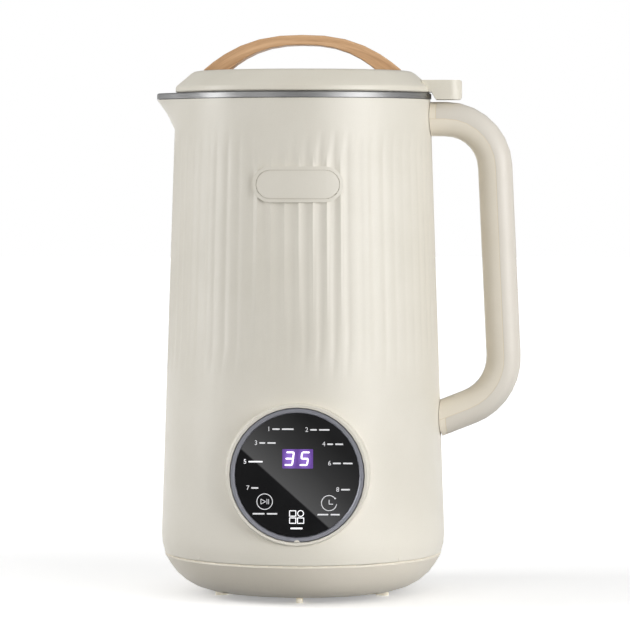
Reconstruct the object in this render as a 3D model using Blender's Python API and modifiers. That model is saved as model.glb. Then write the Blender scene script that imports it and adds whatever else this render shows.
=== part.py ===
"""Nut milk maker: a cooking blender jug with a lift-off lid, built from its separate pieces.

All lengths are in metres. Z points up, the control panel faces -Y, the spout points along -X
and the side handle along +X. The origin lies on the table, under the middle of the whole
object, and the empty named body_axis carries every piece on the axis of the jug.
"""

import math

import bmesh
import bpy
from mathutils import Matrix, Vector

# Gaps and mesh fineness
FIT_GAP = 0.0003
RUNNING_GAP = 0.0005
CUT_OVERRUN = 0.002
WELD_DISTANCE = 0.00001
ROUND_STEPS = 40
HIDDEN_STEPS = 24
SMALL_STEPS = 12

# Outer shell: a tapered tube with sixty concave flutes and a pouring lip
SHELL_FOOT_RADIUS = 0.0702
SHELL_TAPER = 0.0075
SHELL_WALL = 0.0022
SEAM_Z = 0.0210
SHELL_TOP_Z = 0.2434
FLUTE_COUNT = 60
FLUTE_STEPS = 3
FLUTE_DEPTH = 0.0008
FLUTE_TURN = math.radians(0.46)
FLUTE_RUN_OUT_Z = 0.1078
FLUTE_LOW_Z = 0.1258
FLUTE_HIGH_Z = 0.2178

# Pouring lip, shared by the shell, the steel jug and the seal between them
SPOUT_REACH = 0.0093
SPOUT_START_Z = 0.2288
SPOUT_HALF_ANGLE = math.radians(29)
SPOUT_CURVE = 1.3
SPOUT_ROW_SHARES = (0.5,)

# Base cover, screwed under the shell
BASE_WALL = 0.0024
BASE_EDGE = 0.0010
FOOT_HEIGHT = 0.0022
FOOT_LENGTH = 0.0066
FOOT_WIDTH = 0.0034
FOOT_ROUNDING = 0.0005
FOOT_COUNT = 5
FOOT_END_STEPS = 3
FOOT_INSET = 0.0015
BASE_FLAT_INSET = 0.0272
BASE_CURVE_TOP_Z = 0.030
BASE_CURVE_STEPS = 6
BASE_STEPS = 60
VENT_COUNT = 10
VENT_WIDTH = 0.003
VENT_LENGTH = 0.013
VENT_CIRCLE_RADIUS = 0.026

# Steel jug with its flange over the top of the shell
FLANGE_HEIGHT = 0.0028
FLANGE_ROUNDING = 0.0005
FLANGE_OVERHANG = 0.0005
JUG_WALL = 0.0008
JUG_INSET = 0.0054
JUG_TAPER = 0.0032
JUG_FLOOR_Z = 0.0928
JUG_CORNER = 0.005
JUG_CORNER_SHARE = 0.3
JUG_SPOUT_LIP = 0.004
JUG_STEPS = 60
RIM_SEAL_DROP = 0.002
RIM_SEAL_HEIGHT = 0.003

# Lid
LID_OVERHANG = 0.0001
LID_SKIRT_HEIGHT = 0.0028
LID_SLOPE_WIDTH = 0.0092
LID_TOP_Z = 0.2574
LID_EDGE_ROUNDING = 0.0006
LID_CROWN_ROUNDING = 0.0020
LID_WALL = 0.0022
LID_INNER_STEP_SHARE = 1.6
TAB_OVERHANG = 0.0155
TAB_WIDTH = 0.026
TAB_TOP_Z = 0.2529
TAB_BOTTOM_Z = 0.2434
TAB_CORNER = 0.0012
TAB_PLAN_CORNER = 0.0060
TAB_PLAN_STEPS = 4
TAB_NECK_CHAMFER = 0.0022
TAB_ROOT_SHARE = 0.5
LID_PLUG_INSET = 0.0047
LID_PLUG_DEPTH = 0.0085
LID_PLUG_WALL = 0.0022
GASKET_THICKNESS = 0.0030
GASKET_LIP = 0.0006
GASKET_SEAT_DEPTH = 0.0020

# Bent wood-look carrying handle on the lid
ARCH_RISE = 0.0176
ARCH_END_INSET = 0.0050
ARCH_GAP_RISE = 0.0125
ARCH_END_LENGTH = 0.0123
ARCH_CURVE = 2.5
ARCH_WIDTH = 0.020
ARCH_ROUNDING = 0.0018
ARCH_SCREW_INSET = 0.0032
ARCH_SCREW_ROOM = 0.0005
ARCH_STEPS = 14
LID_STEPS = 44

# Side handle: a channel moulded as the inner half and a cover as the outer half
GRIP_THICKNESS = 0.0168
GRIP_WIDTH = 0.024
GRIP_CORNER = 0.0078
GRIP_WALL = 0.0026
GRIP_TOP_Z = 0.2423
GRIP_STAND_OFF = 0.0443
GRIP_LEAN = math.radians(2.67)
GRIP_FOOT_SLOPE = math.radians(21.4)
GRIP_FOOT_Z = 0.0866
GRIP_TOP_BEND = 0.0244
GRIP_FOOT_BEND = 0.0262
GRIP_WIDEST_Z = 0.1250
GRIP_COVER_SETBACK = 0.0035
STUB_INSET = 0.00005
GRIP_BEND_STEPS = 7
GRIP_CORNER_STEPS = 5

# Badge insert in the front of the shell, left blank
BADGE_LENGTH = 0.0434
BADGE_HEIGHT = 0.0171
BADGE_Z = 0.2022
BADGE_BEAD = 0.0016
BADGE_OVERHANG = 0.0007
BADGE_GROOVE = 0.00035
BADGE_PROUD = 0.0007
PILL_END_SHARE = 0.999
BADGE_SINK = 0.0003
BADGE_POCKET_DEPTH = 0.0013

# Round control panel on the front
PANEL_Z = 0.0644
PANEL_PROUD = 0.0024
PANEL_BOSS_RADIUS = 0.0340
PANEL_BOSS_FLARE = 0.0011
PANEL_BOSS_DEPTH = 0.0135
PANEL_BOSS_LIP = 0.0006
PANEL_FLARE_SHARES = (0.35, 0.7, 1)
BEZEL_RADIUS = 0.0319
BEZEL_DEPTH = 0.0042
BEZEL_SETBACK = 0.0003
LENS_RADIUS = 0.0295
LENS_THICKNESS = 0.0018
LENS_SETBACK = 0.0003
BEZEL_LEDGE = 0.0031
DISPLAY_WIDTH = 0.0206
DISPLAY_HEIGHT = 0.0142
DISPLAY_DEPTH = 0.0060
DISPLAY_RAISE = 0.0079
BOARD_RADIUS = 0.0250
BOARD_THICKNESS = 0.0016
KEY_SPRING_RADIUS = 0.0035
KEY_SPRING_COILS = 3
KEY_SPRING_WIRE = 0.0004
KEY_PLACES = {
    "key_spring_start": (-0.0147, -0.0128),
    "key_spring_menu": (0.0007, -0.0185),
    "key_spring_timer": (0.0150, -0.0132),
}

# Lid fittings
LID_MAGNET_RADIUS = 0.004
LID_MAGNET_HEIGHT = 0.003
SCREW_SHANK_RADIUS = 0.0015
SCREW_HEAD_RADIUS = 0.0029
SCREW_HEAD_HEIGHT = 0.0018
SCREW_CROWN_SHARE = 0.7
LID_SCREW_LENGTH = 0.0055
BASE_SCREW_LENGTH = 0.012
BASE_SCREW_ANGLES = (math.radians(225), math.radians(315), math.radians(45))
BASE_BOSS_RADIUS = 0.0040
BASE_BOSS_INSET = 0.0205
RIB_HEIGHT_SHARE = 0.9
GRIP_SCREW_LENGTH = 0.0065
GRIP_SCREW_SHARE = 0.42

# Heating and sensing under the jug floor
HEATER_PLATE_INSET = 0.0080
HEATER_PLATE_THICKNESS = 0.0022
HEATER_TUBE_RADIUS = 0.0032
HEATER_LOOP_INSET = 0.0090
HEATER_OPEN_ANGLE = math.radians(36)
SENSOR_RADIUS = 0.0030
SENSOR_FLANGE_RADIUS = 0.0050
SENSOR_LENGTH = 0.016
SENSOR_FLANGE_HEIGHT = 0.0012
SENSOR_TIP_RISE = 0.0035
SENSOR_X = 0.024
CUTOUT_RADIUS = 0.0075
CUTOUT_HEIGHT = 0.0065
CUTOUT_Y = 0.0230

# Drive: motor hung from the jug floor, its shaft up through a seal to the blades
SHAFT_RADIUS = 0.0040
SHAFT_SHOULDER_RADIUS = 0.0060
SHAFT_SHOULDER_HEIGHT = 0.0055
SHAFT_TIP_LENGTH = 0.0010
SEAL_BODY_RADIUS = 0.0095
SEAL_FLANGE_RADIUS = 0.0135
SEAL_FLANGE_HEIGHT = 0.0022
SEAL_LENGTH = 0.0150
CARRIER_OVERHANG = 0.0030
CARRIER_TOP_Z = 0.0800
CARRIER_THICKNESS = 0.0022
CARRIER_LEG_RADIUS = 0.0026
CARRIER_LEG_COUNT = 4
MOTOR_RADIUS = 0.0310
MOTOR_TOP_Z = CARRIER_TOP_Z - CARRIER_THICKNESS - FIT_GAP
UPPER_BRACKET_HEIGHT = 0.0085
LOWER_BRACKET_HEIGHT = 0.0165
BRACKET_WALL = 0.0022
STATOR_HEIGHT = 0.0260
STATOR_DEPTH = 0.0120
STATOR_WALL = 0.0060
POLE_WIDTH_SHARE = 1.6
POLE_HEIGHT_SHARE = 0.98
ARMATURE_AIR_GAP = 0.0010
ARMATURE_HEIGHT = 0.0250
ARMATURE_SLOTS = 8
ARMATURE_SLOT_WIDTH = 0.0022
ARMATURE_SLOT_DEPTH = 0.0045
COIL_THICKNESS = 0.0040
COIL_HEIGHT = 0.0045
COIL_ANGLE = math.radians(110)
COMMUTATOR_RADIUS = 0.0095
BRUSH_WIDTH = 0.0055
BRUSH_HEIGHT = 0.0070
BEARING_OUTER_RADIUS = 0.0095
BEARING_HEIGHT = 0.0055
FAN_RADIUS = 0.0270
FAN_HEIGHT = 0.0065
FAN_DISC = 0.0016
FAN_HUB_RADIUS = 0.0075
FAN_BLADE_COUNT = 7
FAN_BLADE_WIDTH = 0.0016
BLADE_REACH = 0.0250
BLADE_ROOT_WIDTH = 0.0130
BLADE_TIP_WIDTH = 0.0060
BLADE_THICKNESS = 0.0016
BLADE_HUB_RADIUS = 0.0085
LOWER_BLADE_TILT = math.radians(-8)
UPPER_BLADE_TILT = math.radians(22)
BLADE_NUT_RADIUS = 0.0065
BLADE_NUT_HEIGHT = 0.0060

# Mains side: inlet socket low at the back, and the power board beside the motor
INLET_Z = 0.0400
INLET_WIDTH = 0.0280
INLET_HEIGHT = 0.0210
INLET_DEPTH = 0.0180
INLET_WALL = 0.0022
INLET_RECESS = 0.0140
INLET_FLANGE = 0.0030
INLET_FLANGE_THICKNESS = 0.0022
INLET_CORNER = 0.0020
INLET_SETBACK = 0.0016
PIN_WIDTH = 0.0040
PIN_THICKNESS = 0.0020
PIN_REACH = 0.0080
PIN_SPACING = 0.0070
PIN_TAIL = 0.0040
POWER_BOARD_WIDTH = 0.0400
POWER_BOARD_HEIGHT = 0.0440
POWER_BOARD_BOTTOM_Z = 0.0280
POWER_BOARD_THICKNESS = 0.0016
POWER_BOARD_PILLAR = 0.0060
POWER_BOARD_PILLAR_RADIUS = 0.0028
TRANSFORMER_SIZE = (0.0095, 0.0180, 0.0160)
REED_SWITCH_RADIUS = 0.0018
REED_SWITCH_LENGTH = 0.0100

# Places worked out from the sizes above
SHELL_TOP_RADIUS = SHELL_FOOT_RADIUS - SHELL_TAPER
BADGE_PLUG_LENGTH = BADGE_LENGTH - 2 * BADGE_OVERHANG
BADGE_PLUG_HEIGHT = BADGE_HEIGHT - 2 * BADGE_OVERHANG
BASE_FLAT_RADIUS = SHELL_FOOT_RADIUS - BASE_FLAT_INSET
BASE_BOSS_CIRCLE_RADIUS = SHELL_FOOT_RADIUS - BASE_BOSS_INSET
FOOT_CIRCLE_RADIUS = BASE_FLAT_RADIUS - FOOT_INSET
JUG_TOP_RADIUS = SHELL_TOP_RADIUS - JUG_INSET
JUG_FLOOR_RADIUS = JUG_TOP_RADIUS - JUG_TAPER
LID_SKIRT_RADIUS = SHELL_TOP_RADIUS + LID_OVERHANG
LID_TOP_RADIUS = LID_SKIRT_RADIUS - LID_SLOPE_WIDTH
LID_PLUG_RADIUS = JUG_TOP_RADIUS - LID_PLUG_INSET
TAB_REACH = SHELL_TOP_RADIUS + TAB_OVERHANG
ARCH_HALF_SPAN = LID_TOP_RADIUS - ARCH_END_INSET
ARCH_GAP_HALF_SPAN = ARCH_HALF_SPAN - ARCH_END_LENGTH
GRIP_REACH = SHELL_TOP_RADIUS + GRIP_STAND_OFF
HEATER_PLATE_RADIUS = JUG_FLOOR_RADIUS - HEATER_PLATE_INSET
HEATER_LOOP_RADIUS = HEATER_PLATE_RADIUS - HEATER_LOOP_INSET
CARRIER_RADIUS = HEATER_PLATE_RADIUS + CARRIER_OVERHANG
STATOR_BORE_RADIUS = MOTOR_RADIUS - STATOR_DEPTH
ARMATURE_RADIUS = STATOR_BORE_RADIUS - ARMATURE_AIR_GAP
FLUTE_START_Z = SPOUT_START_Z
BODY_AXIS_X = (SHELL_TOP_RADIUS + SPOUT_REACH - GRIP_REACH) / 2
TAPER_BEHIND_PANEL = SHELL_TAPER * (PANEL_Z - BASE_CURVE_TOP_Z) / (SHELL_TOP_Z - SEAM_Z)
BODY_AXIS_Y = (PANEL_PROUD - TAPER_BEHIND_PANEL) / 2
BASE_BOTTOM_Z = FOOT_HEIGHT + FIT_GAP
BASE_TOP_Z = SEAM_Z - FIT_GAP
FLANGE_BOTTOM_Z = SHELL_TOP_Z + FIT_GAP
FLANGE_TOP_Z = FLANGE_BOTTOM_Z + FLANGE_HEIGHT
LID_SKIRT_Z = FLANGE_TOP_Z + FIT_GAP
JUG_UNDERSIDE_Z = JUG_FLOOR_Z - JUG_WALL

# Colours (sRGB, 0 to 1) with roughness and metallic value
FINISHES = {
    "cream_plastic": ((0.86, 0.84, 0.78), 0.45, 0.0),
    "lid_plastic": ((0.84, 0.81, 0.75), 0.45, 0.0),
    "base_plastic": ((0.80, 0.77, 0.70), 0.45, 0.0),
    "soft_foot": ((0.82, 0.79, 0.72), 0.7, 0.0),
    "wood_look": ((0.78, 0.60, 0.45), 0.5, 0.0),
    "steel": ((0.72, 0.72, 0.73), 0.25, 1.0),
    "grey_bezel": ((0.47, 0.48, 0.50), 0.35, 0.2),
    "black_lens": ((0.10, 0.10, 0.11), 0.1, 0.0),
    "display": ((0.45, 0.30, 0.70), 0.4, 0.0),
    "green_board": ((0.10, 0.32, 0.20), 0.5, 0.0),
    "white_silicone": ((0.88, 0.88, 0.86), 0.6, 0.0),
    "black_plastic": ((0.08, 0.08, 0.08), 0.5, 0.0),
    "aluminium": ((0.75, 0.76, 0.78), 0.4, 1.0),
    "copper": ((0.72, 0.45, 0.30), 0.35, 1.0),
    "brass": ((0.78, 0.66, 0.38), 0.3, 1.0),
    "iron": ((0.42, 0.42, 0.44), 0.5, 1.0),
    "carbon": ((0.12, 0.12, 0.13), 0.6, 0.1),
    "magnet": ((0.55, 0.55, 0.58), 0.3, 1.0),
}


def clear_scene():
    for item in list(bpy.data.objects):
        bpy.data.objects.remove(item, do_unlink=True)


def new_collection(name):
    collection = bpy.data.collections.new(name)
    bpy.context.scene.collection.children.link(collection)
    return collection


def srgb_to_linear(value):
    if value <= 0.04045:
        return value / 12.92
    return ((value + 0.055) / 1.055) ** 2.4


def make_material(name):
    colour, roughness, metallic = FINISHES[name]
    material = bpy.data.materials.new(name)
    material.use_nodes = True
    shader = material.node_tree.nodes["Principled BSDF"]
    shader.inputs["Base Color"].default_value = [srgb_to_linear(part) for part in colour] + [1.0]
    shader.inputs["Roughness"].default_value = roughness
    shader.inputs["Metallic"].default_value = metallic
    material.diffuse_color = shader.inputs["Base Color"].default_value
    return material


clear_scene()
PIECES = new_collection("nut_milk_maker")
CUTTERS = new_collection("cutters")
MATERIALS = {name: make_material(name) for name in FINISHES}

BODY_AXIS = bpy.data.objects.new("body_axis", None)
BODY_AXIS.location = (BODY_AXIS_X, BODY_AXIS_Y, 0)
PIECES.objects.link(BODY_AXIS)
LID_LIFT = bpy.data.objects.new("lid_lift", None)
LID_LIFT.parent = BODY_AXIS
PIECES.objects.link(LID_LIFT)
BLADE_SPIN = bpy.data.objects.new("blade_spin", None)
BLADE_SPIN.parent = BODY_AXIS
PIECES.objects.link(BLADE_SPIN)


def place_piece(piece, finish, parent):
    """Puts a finished piece in the collection, on its carrier and with its own material."""
    for collection in list(piece.users_collection):
        collection.objects.unlink(piece)
    PIECES.objects.link(piece)
    piece.parent = parent
    material = MATERIALS[finish].copy()
    material.name = piece.name + "_" + finish
    piece.data.materials.clear()
    piece.data.materials.append(material)
    return piece


def place_cutter(cutter):
    for collection in list(cutter.users_collection):
        collection.objects.unlink(cutter)
    CUTTERS.objects.link(cutter)
    cutter.parent = BODY_AXIS
    cutter.hide_render = True
    cutter.display_type = "WIRE"
    return cutter


def object_from_bmesh(name, mesh_data):
    bmesh.ops.recalc_face_normals(mesh_data, faces=mesh_data.faces)
    mesh = bpy.data.meshes.new(name)
    mesh_data.to_mesh(mesh)
    mesh_data.free()
    mesh.shade_smooth()
    mesh.set_sharp_from_angle(angle=math.radians(35))
    return bpy.data.objects.new(name, mesh)


def boolean(piece, cutter, operation="DIFFERENCE", solver="EXACT"):
    modifier = piece.modifiers.new(operation.lower(), "BOOLEAN")
    modifier.operation = operation
    modifier.solver = solver
    modifier.object = cutter
    return modifier


def turned(name, outline, steps=ROUND_STEPS):
    """A turned shape: radius and height pairs run down the outer side, top to bottom."""
    mesh = bpy.data.meshes.new(name)
    points = [(radius, 0, height) for radius, height in outline]
    on_axis = outline[0][0] == 0 and outline[-1][0] == 0
    edges = [(index, index + 1) for index in range(len(points) - 1)]
    if not on_axis:
        edges.append((len(points) - 1, 0))
    mesh.from_pydata(points, edges, [])
    mesh.shade_smooth()
    piece = bpy.data.objects.new(name, mesh)
    screw = piece.modifiers.new("turn", "SCREW")
    screw.steps = steps
    screw.render_steps = steps
    screw.use_merge_vertices = True
    screw.merge_threshold = WELD_DISTANCE
    screw.use_smooth_shade = True
    return piece


def drum(radius, top, bottom, bore=0):
    """The outline of a plain round piece, solid or with a bore."""
    if bore:
        return [(radius, top), (radius, bottom), (bore, bottom), (bore, top)]
    return [(0, top), (radius, top), (radius, bottom), (0, bottom)]


def block(name, size, centre, edge=0):
    mesh_data = bmesh.new()
    bmesh.ops.create_cube(mesh_data, size=1)
    bmesh.ops.scale(mesh_data, vec=size, verts=mesh_data.verts)
    piece = object_from_bmesh(name, mesh_data)
    piece.location = centre
    if edge:
        bevel = piece.modifiers.new("edge", "BEVEL")
        bevel.width = edge
        bevel.segments = 2
        bevel.limit_method = "ANGLE"
    return piece


def rod(name, radius, length, centre, steps=SMALL_STEPS):
    mesh_data = bmesh.new()
    bmesh.ops.create_cone(
        mesh_data, cap_ends=True, segments=steps, radius1=radius, radius2=radius, depth=length
    )
    piece = object_from_bmesh(name, mesh_data)
    piece.location = centre
    return piece


def lofted(name, rings, closed):
    """Joins rings of equally many points; closed joins the last ring to the first."""
    mesh_data = bmesh.new()
    levels = [[mesh_data.verts.new(point) for point in ring] for ring in rings]
    pairs = list(zip(levels, levels[1:]))
    if closed:
        pairs.append((levels[-1], levels[0]))
    for lower, upper in pairs:
        count = len(lower)
        for index in range(count):
            after = (index + 1) % count
            mesh_data.faces.new((lower[index], lower[after], upper[after], upper[index]))
    if not closed:
        mesh_data.faces.new(levels[0])
        mesh_data.faces.new(levels[-1])
    return object_from_bmesh(name, mesh_data)


def flat_shape(name, outline, thickness, edge=0):
    """A closed flat outline in X and Y, as thick as given, centred on Z = 0, made a mesh."""
    curve = bpy.data.curves.new(name, "CURVE")
    curve.dimensions = "2D"
    curve.fill_mode = "BOTH"
    curve.extrude = thickness / 2 - edge
    curve.bevel_depth = edge
    curve.bevel_resolution = 1
    curve.offset = -edge
    spline = curve.splines.new("POLY")
    spline.points.add(len(outline) - 1)
    for point, (x, y) in zip(spline.points, outline):
        point.co = (x, y, 0, 1)
    spline.use_cyclic_u = True
    return curve_to_mesh(name, curve)


def curve_to_mesh(name, curve):
    carrier = bpy.data.objects.new(name + "_curve", curve)
    bpy.context.scene.collection.objects.link(carrier)
    graph = bpy.context.evaluated_depsgraph_get()
    graph.update()
    mesh = bpy.data.meshes.new_from_object(carrier.evaluated_get(graph))
    bpy.data.objects.remove(carrier, do_unlink=True)
    mesh_data = bmesh.new()
    mesh_data.from_mesh(mesh)
    bpy.data.meshes.remove(mesh)
    bmesh.ops.remove_doubles(mesh_data, verts=mesh_data.verts, dist=WELD_DISTANCE)
    return object_from_bmesh(name, mesh_data)


def arc(centre, radius, start, end, steps):
    """Points on an arc in a plane, both ends included."""
    points = []
    for index in range(steps + 1):
        angle = start + (end - start) * index / steps
        points.append((centre[0] + radius * math.cos(angle), centre[1] + radius * math.sin(angle)))
    return points


def rounded_box_outline(width, height, corner, steps):
    """An outline of a rectangle with round corners, centred on zero."""
    outline = []
    for quarter, (side_x, side_y) in enumerate(((1, 1), (-1, 1), (-1, -1), (1, -1))):
        centre = (side_x * (width / 2 - corner), side_y * (height / 2 - corner))
        start = quarter * math.pi / 2
        outline += arc(centre, corner, start, start + math.pi / 2, steps)
    return outline


def screw_piece(name, length):
    """A pan-head screw with its head up and its seat at Z = 0."""
    outline = [
        (0, SCREW_HEAD_HEIGHT),
        (SCREW_HEAD_RADIUS * SCREW_CROWN_SHARE, SCREW_HEAD_HEIGHT),
        (SCREW_HEAD_RADIUS, SCREW_HEAD_HEIGHT / 2),
        (SCREW_HEAD_RADIUS, 0),
        (SCREW_SHANK_RADIUS, 0),
        (SCREW_SHANK_RADIUS, -length),
        (0, -length),
    ]
    return turned(name, outline, SMALL_STEPS)


def shell_radius(height):
    share = (height - SEAM_Z) / (SHELL_TOP_Z - SEAM_Z)
    return SHELL_FOOT_RADIUS + (SHELL_TOP_RADIUS - SHELL_FOOT_RADIUS) * share


def foot_curve_radius(height, inset=0):
    """The rounded foot of the body, a quarter of an ellipse, a distance in from its outside."""
    width = shell_radius(BASE_CURVE_TOP_Z) - BASE_FLAT_RADIUS - inset
    rise = BASE_CURVE_TOP_Z - BASE_BOTTOM_Z - inset
    share = min((BASE_CURVE_TOP_Z - height) / rise, 1)
    return BASE_FLAT_RADIUS + width * math.sqrt(1 - share ** 2)


def foot_curve(inset):
    """Points down the rounded foot, from the base cover's top to its flat underside."""
    rise = BASE_CURVE_TOP_Z - BASE_BOTTOM_Z - inset
    start = math.asin((BASE_CURVE_TOP_Z - BASE_TOP_Z) / rise)
    points = []
    for index in range(BASE_CURVE_STEPS + 1):
        turn = start + (math.pi / 2 - start) * index / BASE_CURVE_STEPS
        height = BASE_CURVE_TOP_Z - rise * math.sin(turn)
        points.append((foot_curve_radius(height, inset), height))
    return points


def spout_share(height):
    """How far the pouring lip has grown at a height, from 0 to 1 at the shell's top."""
    share = (min(height, SHELL_TOP_Z) - SPOUT_START_Z) / (SHELL_TOP_Z - SPOUT_START_Z)
    return max(share, 0) ** SPOUT_CURVE


def spout_bulge(angle):
    """The lip's shape seen from above: 1 towards -X, 0 outside its half angle."""
    away = abs(math.pi - angle % (2 * math.pi))
    if away >= SPOUT_HALF_ANGLE:
        return 0
    return math.cos(away / SPOUT_HALF_ANGLE * math.pi / 2) ** 2


def ring_of_points(radius, height, reach, steps, flute=0):
    points = []
    for index in range(steps):
        angle = 2 * math.pi * index / steps + FLUTE_TURN
        in_flute = (index % FLUTE_STEPS) / FLUTE_STEPS
        dip = flute * (1 - (2 * in_flute - 1) ** 2)
        distance = radius + reach * spout_bulge(angle) - dip
        points.append((distance * math.cos(angle), distance * math.sin(angle), height))
    return points


def flute_depth(height):
    """The flutes run out softly at both ends."""
    if height <= FLUTE_RUN_OUT_Z or height >= FLUTE_START_Z:
        return 0
    if height < FLUTE_LOW_Z:
        share = (height - FLUTE_RUN_OUT_Z) / (FLUTE_LOW_Z - FLUTE_RUN_OUT_Z)
    elif height > FLUTE_HIGH_Z:
        share = (FLUTE_START_Z - height) / (FLUTE_START_Z - FLUTE_HIGH_Z)
    else:
        share = 1
    return FLUTE_DEPTH * share * share * (3 - 2 * share)


def spout_rows():
    rise = SHELL_TOP_Z - SPOUT_START_Z
    return [SPOUT_START_Z] + [SPOUT_START_Z + rise * share for share in SPOUT_ROW_SHARES]


def shell_solid():
    """The fluted tapered outside of the shell with its pouring lip, still filled."""
    steps = FLUTE_COUNT * FLUTE_STEPS
    rings = []
    for height in (SEAM_Z, (SEAM_Z + BASE_CURVE_TOP_Z) / 2):
        rings.append(ring_of_points(foot_curve_radius(height), height, 0, steps))
    fluted_rows = [BASE_CURVE_TOP_Z, FLUTE_RUN_OUT_Z, FLUTE_LOW_Z, FLUTE_HIGH_Z]
    for height in fluted_rows + spout_rows() + [SHELL_TOP_Z]:
        reach = SPOUT_REACH * spout_share(height)
        rings.append(ring_of_points(shell_radius(height), height, reach, steps, flute_depth(height)))
    return lofted("outer_shell", rings, closed=False)


def shell_hollow():
    """The smooth inside of the shell, a wall's thickness in from the outside."""
    rings = []
    for height in [SEAM_Z - CUT_OVERRUN] + spout_rows() + [SHELL_TOP_Z, SHELL_TOP_Z + CUT_OVERRUN]:
        reach = SPOUT_REACH * spout_share(height)
        rings.append(ring_of_points(shell_radius(height) - SHELL_WALL, height, reach, JUG_STEPS))
    return place_cutter(lofted("shell_hollow", rings, closed=False))


def panel_front_y():
    return -(shell_radius(PANEL_Z) + PANEL_PROUD)


def face_front(piece, depth_behind_panel=0):
    """Turns a piece made along Z to face the front, at the middle of the control panel."""
    piece.rotation_euler = (math.pi / 2, 0, 0)
    piece.location = (0, panel_front_y() + depth_behind_panel, PANEL_Z)
    return piece


def panel_pocket_radius():
    return BEZEL_RADIUS + FIT_GAP


def panel_hole():
    """The hole in the shell's wall that the panel's boss fills."""
    radius = (panel_pocket_radius() + PANEL_BOSS_RADIUS) / 2
    outline = drum(radius, CUT_OVERRUN, -PANEL_BOSS_DEPTH - CUT_OVERRUN)
    return face_front(place_cutter(turned("panel_hole", outline, ROUND_STEPS)))


def panel_boss():
    """A ring that stands out of the shell round the panel, flared where it meets the wall."""
    radius = PANEL_BOSS_RADIUS
    lip = PANEL_BOSS_LIP
    pocket = panel_pocket_radius()
    bore = LENS_RADIUS - BEZEL_LEDGE / 2
    floor = -(BEZEL_SETBACK + BEZEL_DEPTH + FIT_GAP)
    outline = [(radius - lip, 0), (radius, -lip)]
    for share in PANEL_FLARE_SHARES:
        outline.append((radius + PANEL_BOSS_FLARE * share ** 2, -PANEL_BOSS_DEPTH * share))
    outline += [(bore, -PANEL_BOSS_DEPTH), (bore, floor), (pocket, floor), (pocket, 0)]
    return face_front(place_cutter(turned("panel_boss", outline, ROUND_STEPS)))


def pill(name, length, height, depth):
    """A flat pill standing upright on the front, cut to the shell's curve later."""
    outline = rounded_box_outline(length, height, height / 2 * PILL_END_SHARE, 6)
    piece = flat_shape(name, outline, depth)
    piece.rotation_euler = (math.pi / 2, 0, 0)
    piece.location = (0, -shell_radius(BADGE_Z), BADGE_Z)
    return piece


def shell_band(name, inner_offset, outer_offset):
    """A thick band round the shell at the badge, between two offsets from its surface."""
    top = BADGE_Z + BADGE_HEIGHT
    bottom = BADGE_Z - BADGE_HEIGHT
    outline = [
        (shell_radius(top) + outer_offset, top),
        (shell_radius(bottom) + outer_offset, bottom),
        (shell_radius(bottom) + inner_offset, bottom),
        (shell_radius(top) + inner_offset, top),
    ]
    return place_cutter(turned(name, outline, FLUTE_COUNT * 2))


def curved_pill(name, length, height, inner_offset, outer_offset):
    piece = pill(name, length, height, 2 * BADGE_HEIGHT)
    boolean(piece, shell_band(name + "_band", inner_offset, outer_offset), "INTERSECT")
    return piece


def base_screw_angles():
    """Two screws beside the panel and one at the back, beside the mains inlet."""
    return BASE_SCREW_ANGLES


def shell_posts():
    """Posts inside the shell that take the base screws, each with a rib to the wall."""
    posts = []
    for index, angle in enumerate(base_screw_angles()):
        direction = Vector((math.cos(angle), math.sin(angle), 0))
        middle_z = BASE_TOP_Z + FIT_GAP + BASE_SCREW_LENGTH / 2
        centre = direction * BASE_BOSS_CIRCLE_RADIUS + Vector((0, 0, middle_z))
        post = rod(f"shell_post_{index + 1}", BASE_BOSS_RADIUS, BASE_SCREW_LENGTH, centre)
        posts.append(place_cutter(post))
        wall_radius = shell_radius(middle_z) - SHELL_WALL / 2
        length = wall_radius - BASE_BOSS_CIRCLE_RADIUS
        rib_centre = direction * (BASE_BOSS_CIRCLE_RADIUS + length / 2) + Vector((0, 0, middle_z))
        rib_size = (length, SHELL_WALL, BASE_SCREW_LENGTH * RIB_HEIGHT_SHARE)
        rib = block(f"shell_rib_{index + 1}", rib_size, rib_centre)
        rib.rotation_euler = (0, 0, angle)
        posts.append(place_cutter(rib))
    return posts


def base_screw_holes(name, radius, bottom, top):
    holes = []
    for index, angle in enumerate(base_screw_angles()):
        centre = (
            BASE_BOSS_CIRCLE_RADIUS * math.cos(angle),
            BASE_BOSS_CIRCLE_RADIUS * math.sin(angle),
            (bottom + top) / 2,
        )
        holes.append(place_cutter(rod(f"{name}_{index + 1}", radius, top - bottom, centre)))
    return holes


def inlet_back_y():
    """The wall's inner face beside the socket, where the socket's flange seats."""
    half_flange = INLET_WIDTH / 2 + INLET_FLANGE
    radius = shell_radius(INLET_Z + INLET_HEIGHT / 2 + INLET_FLANGE) - SHELL_WALL
    return math.sqrt(radius ** 2 - half_flange ** 2) - FIT_GAP


def inlet_front_y():
    corner = math.sqrt(shell_radius(INLET_Z) ** 2 - (INLET_WIDTH / 2) ** 2)
    return corner - INLET_SETBACK + FIT_GAP


def inlet_opening():
    size = (INLET_WIDTH + 2 * FIT_GAP, SHELL_FOOT_RADIUS, INLET_HEIGHT + 2 * FIT_GAP)
    return place_cutter(block("inlet_opening", size, (0, SHELL_FOOT_RADIUS, INLET_Z), INLET_CORNER))


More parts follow.
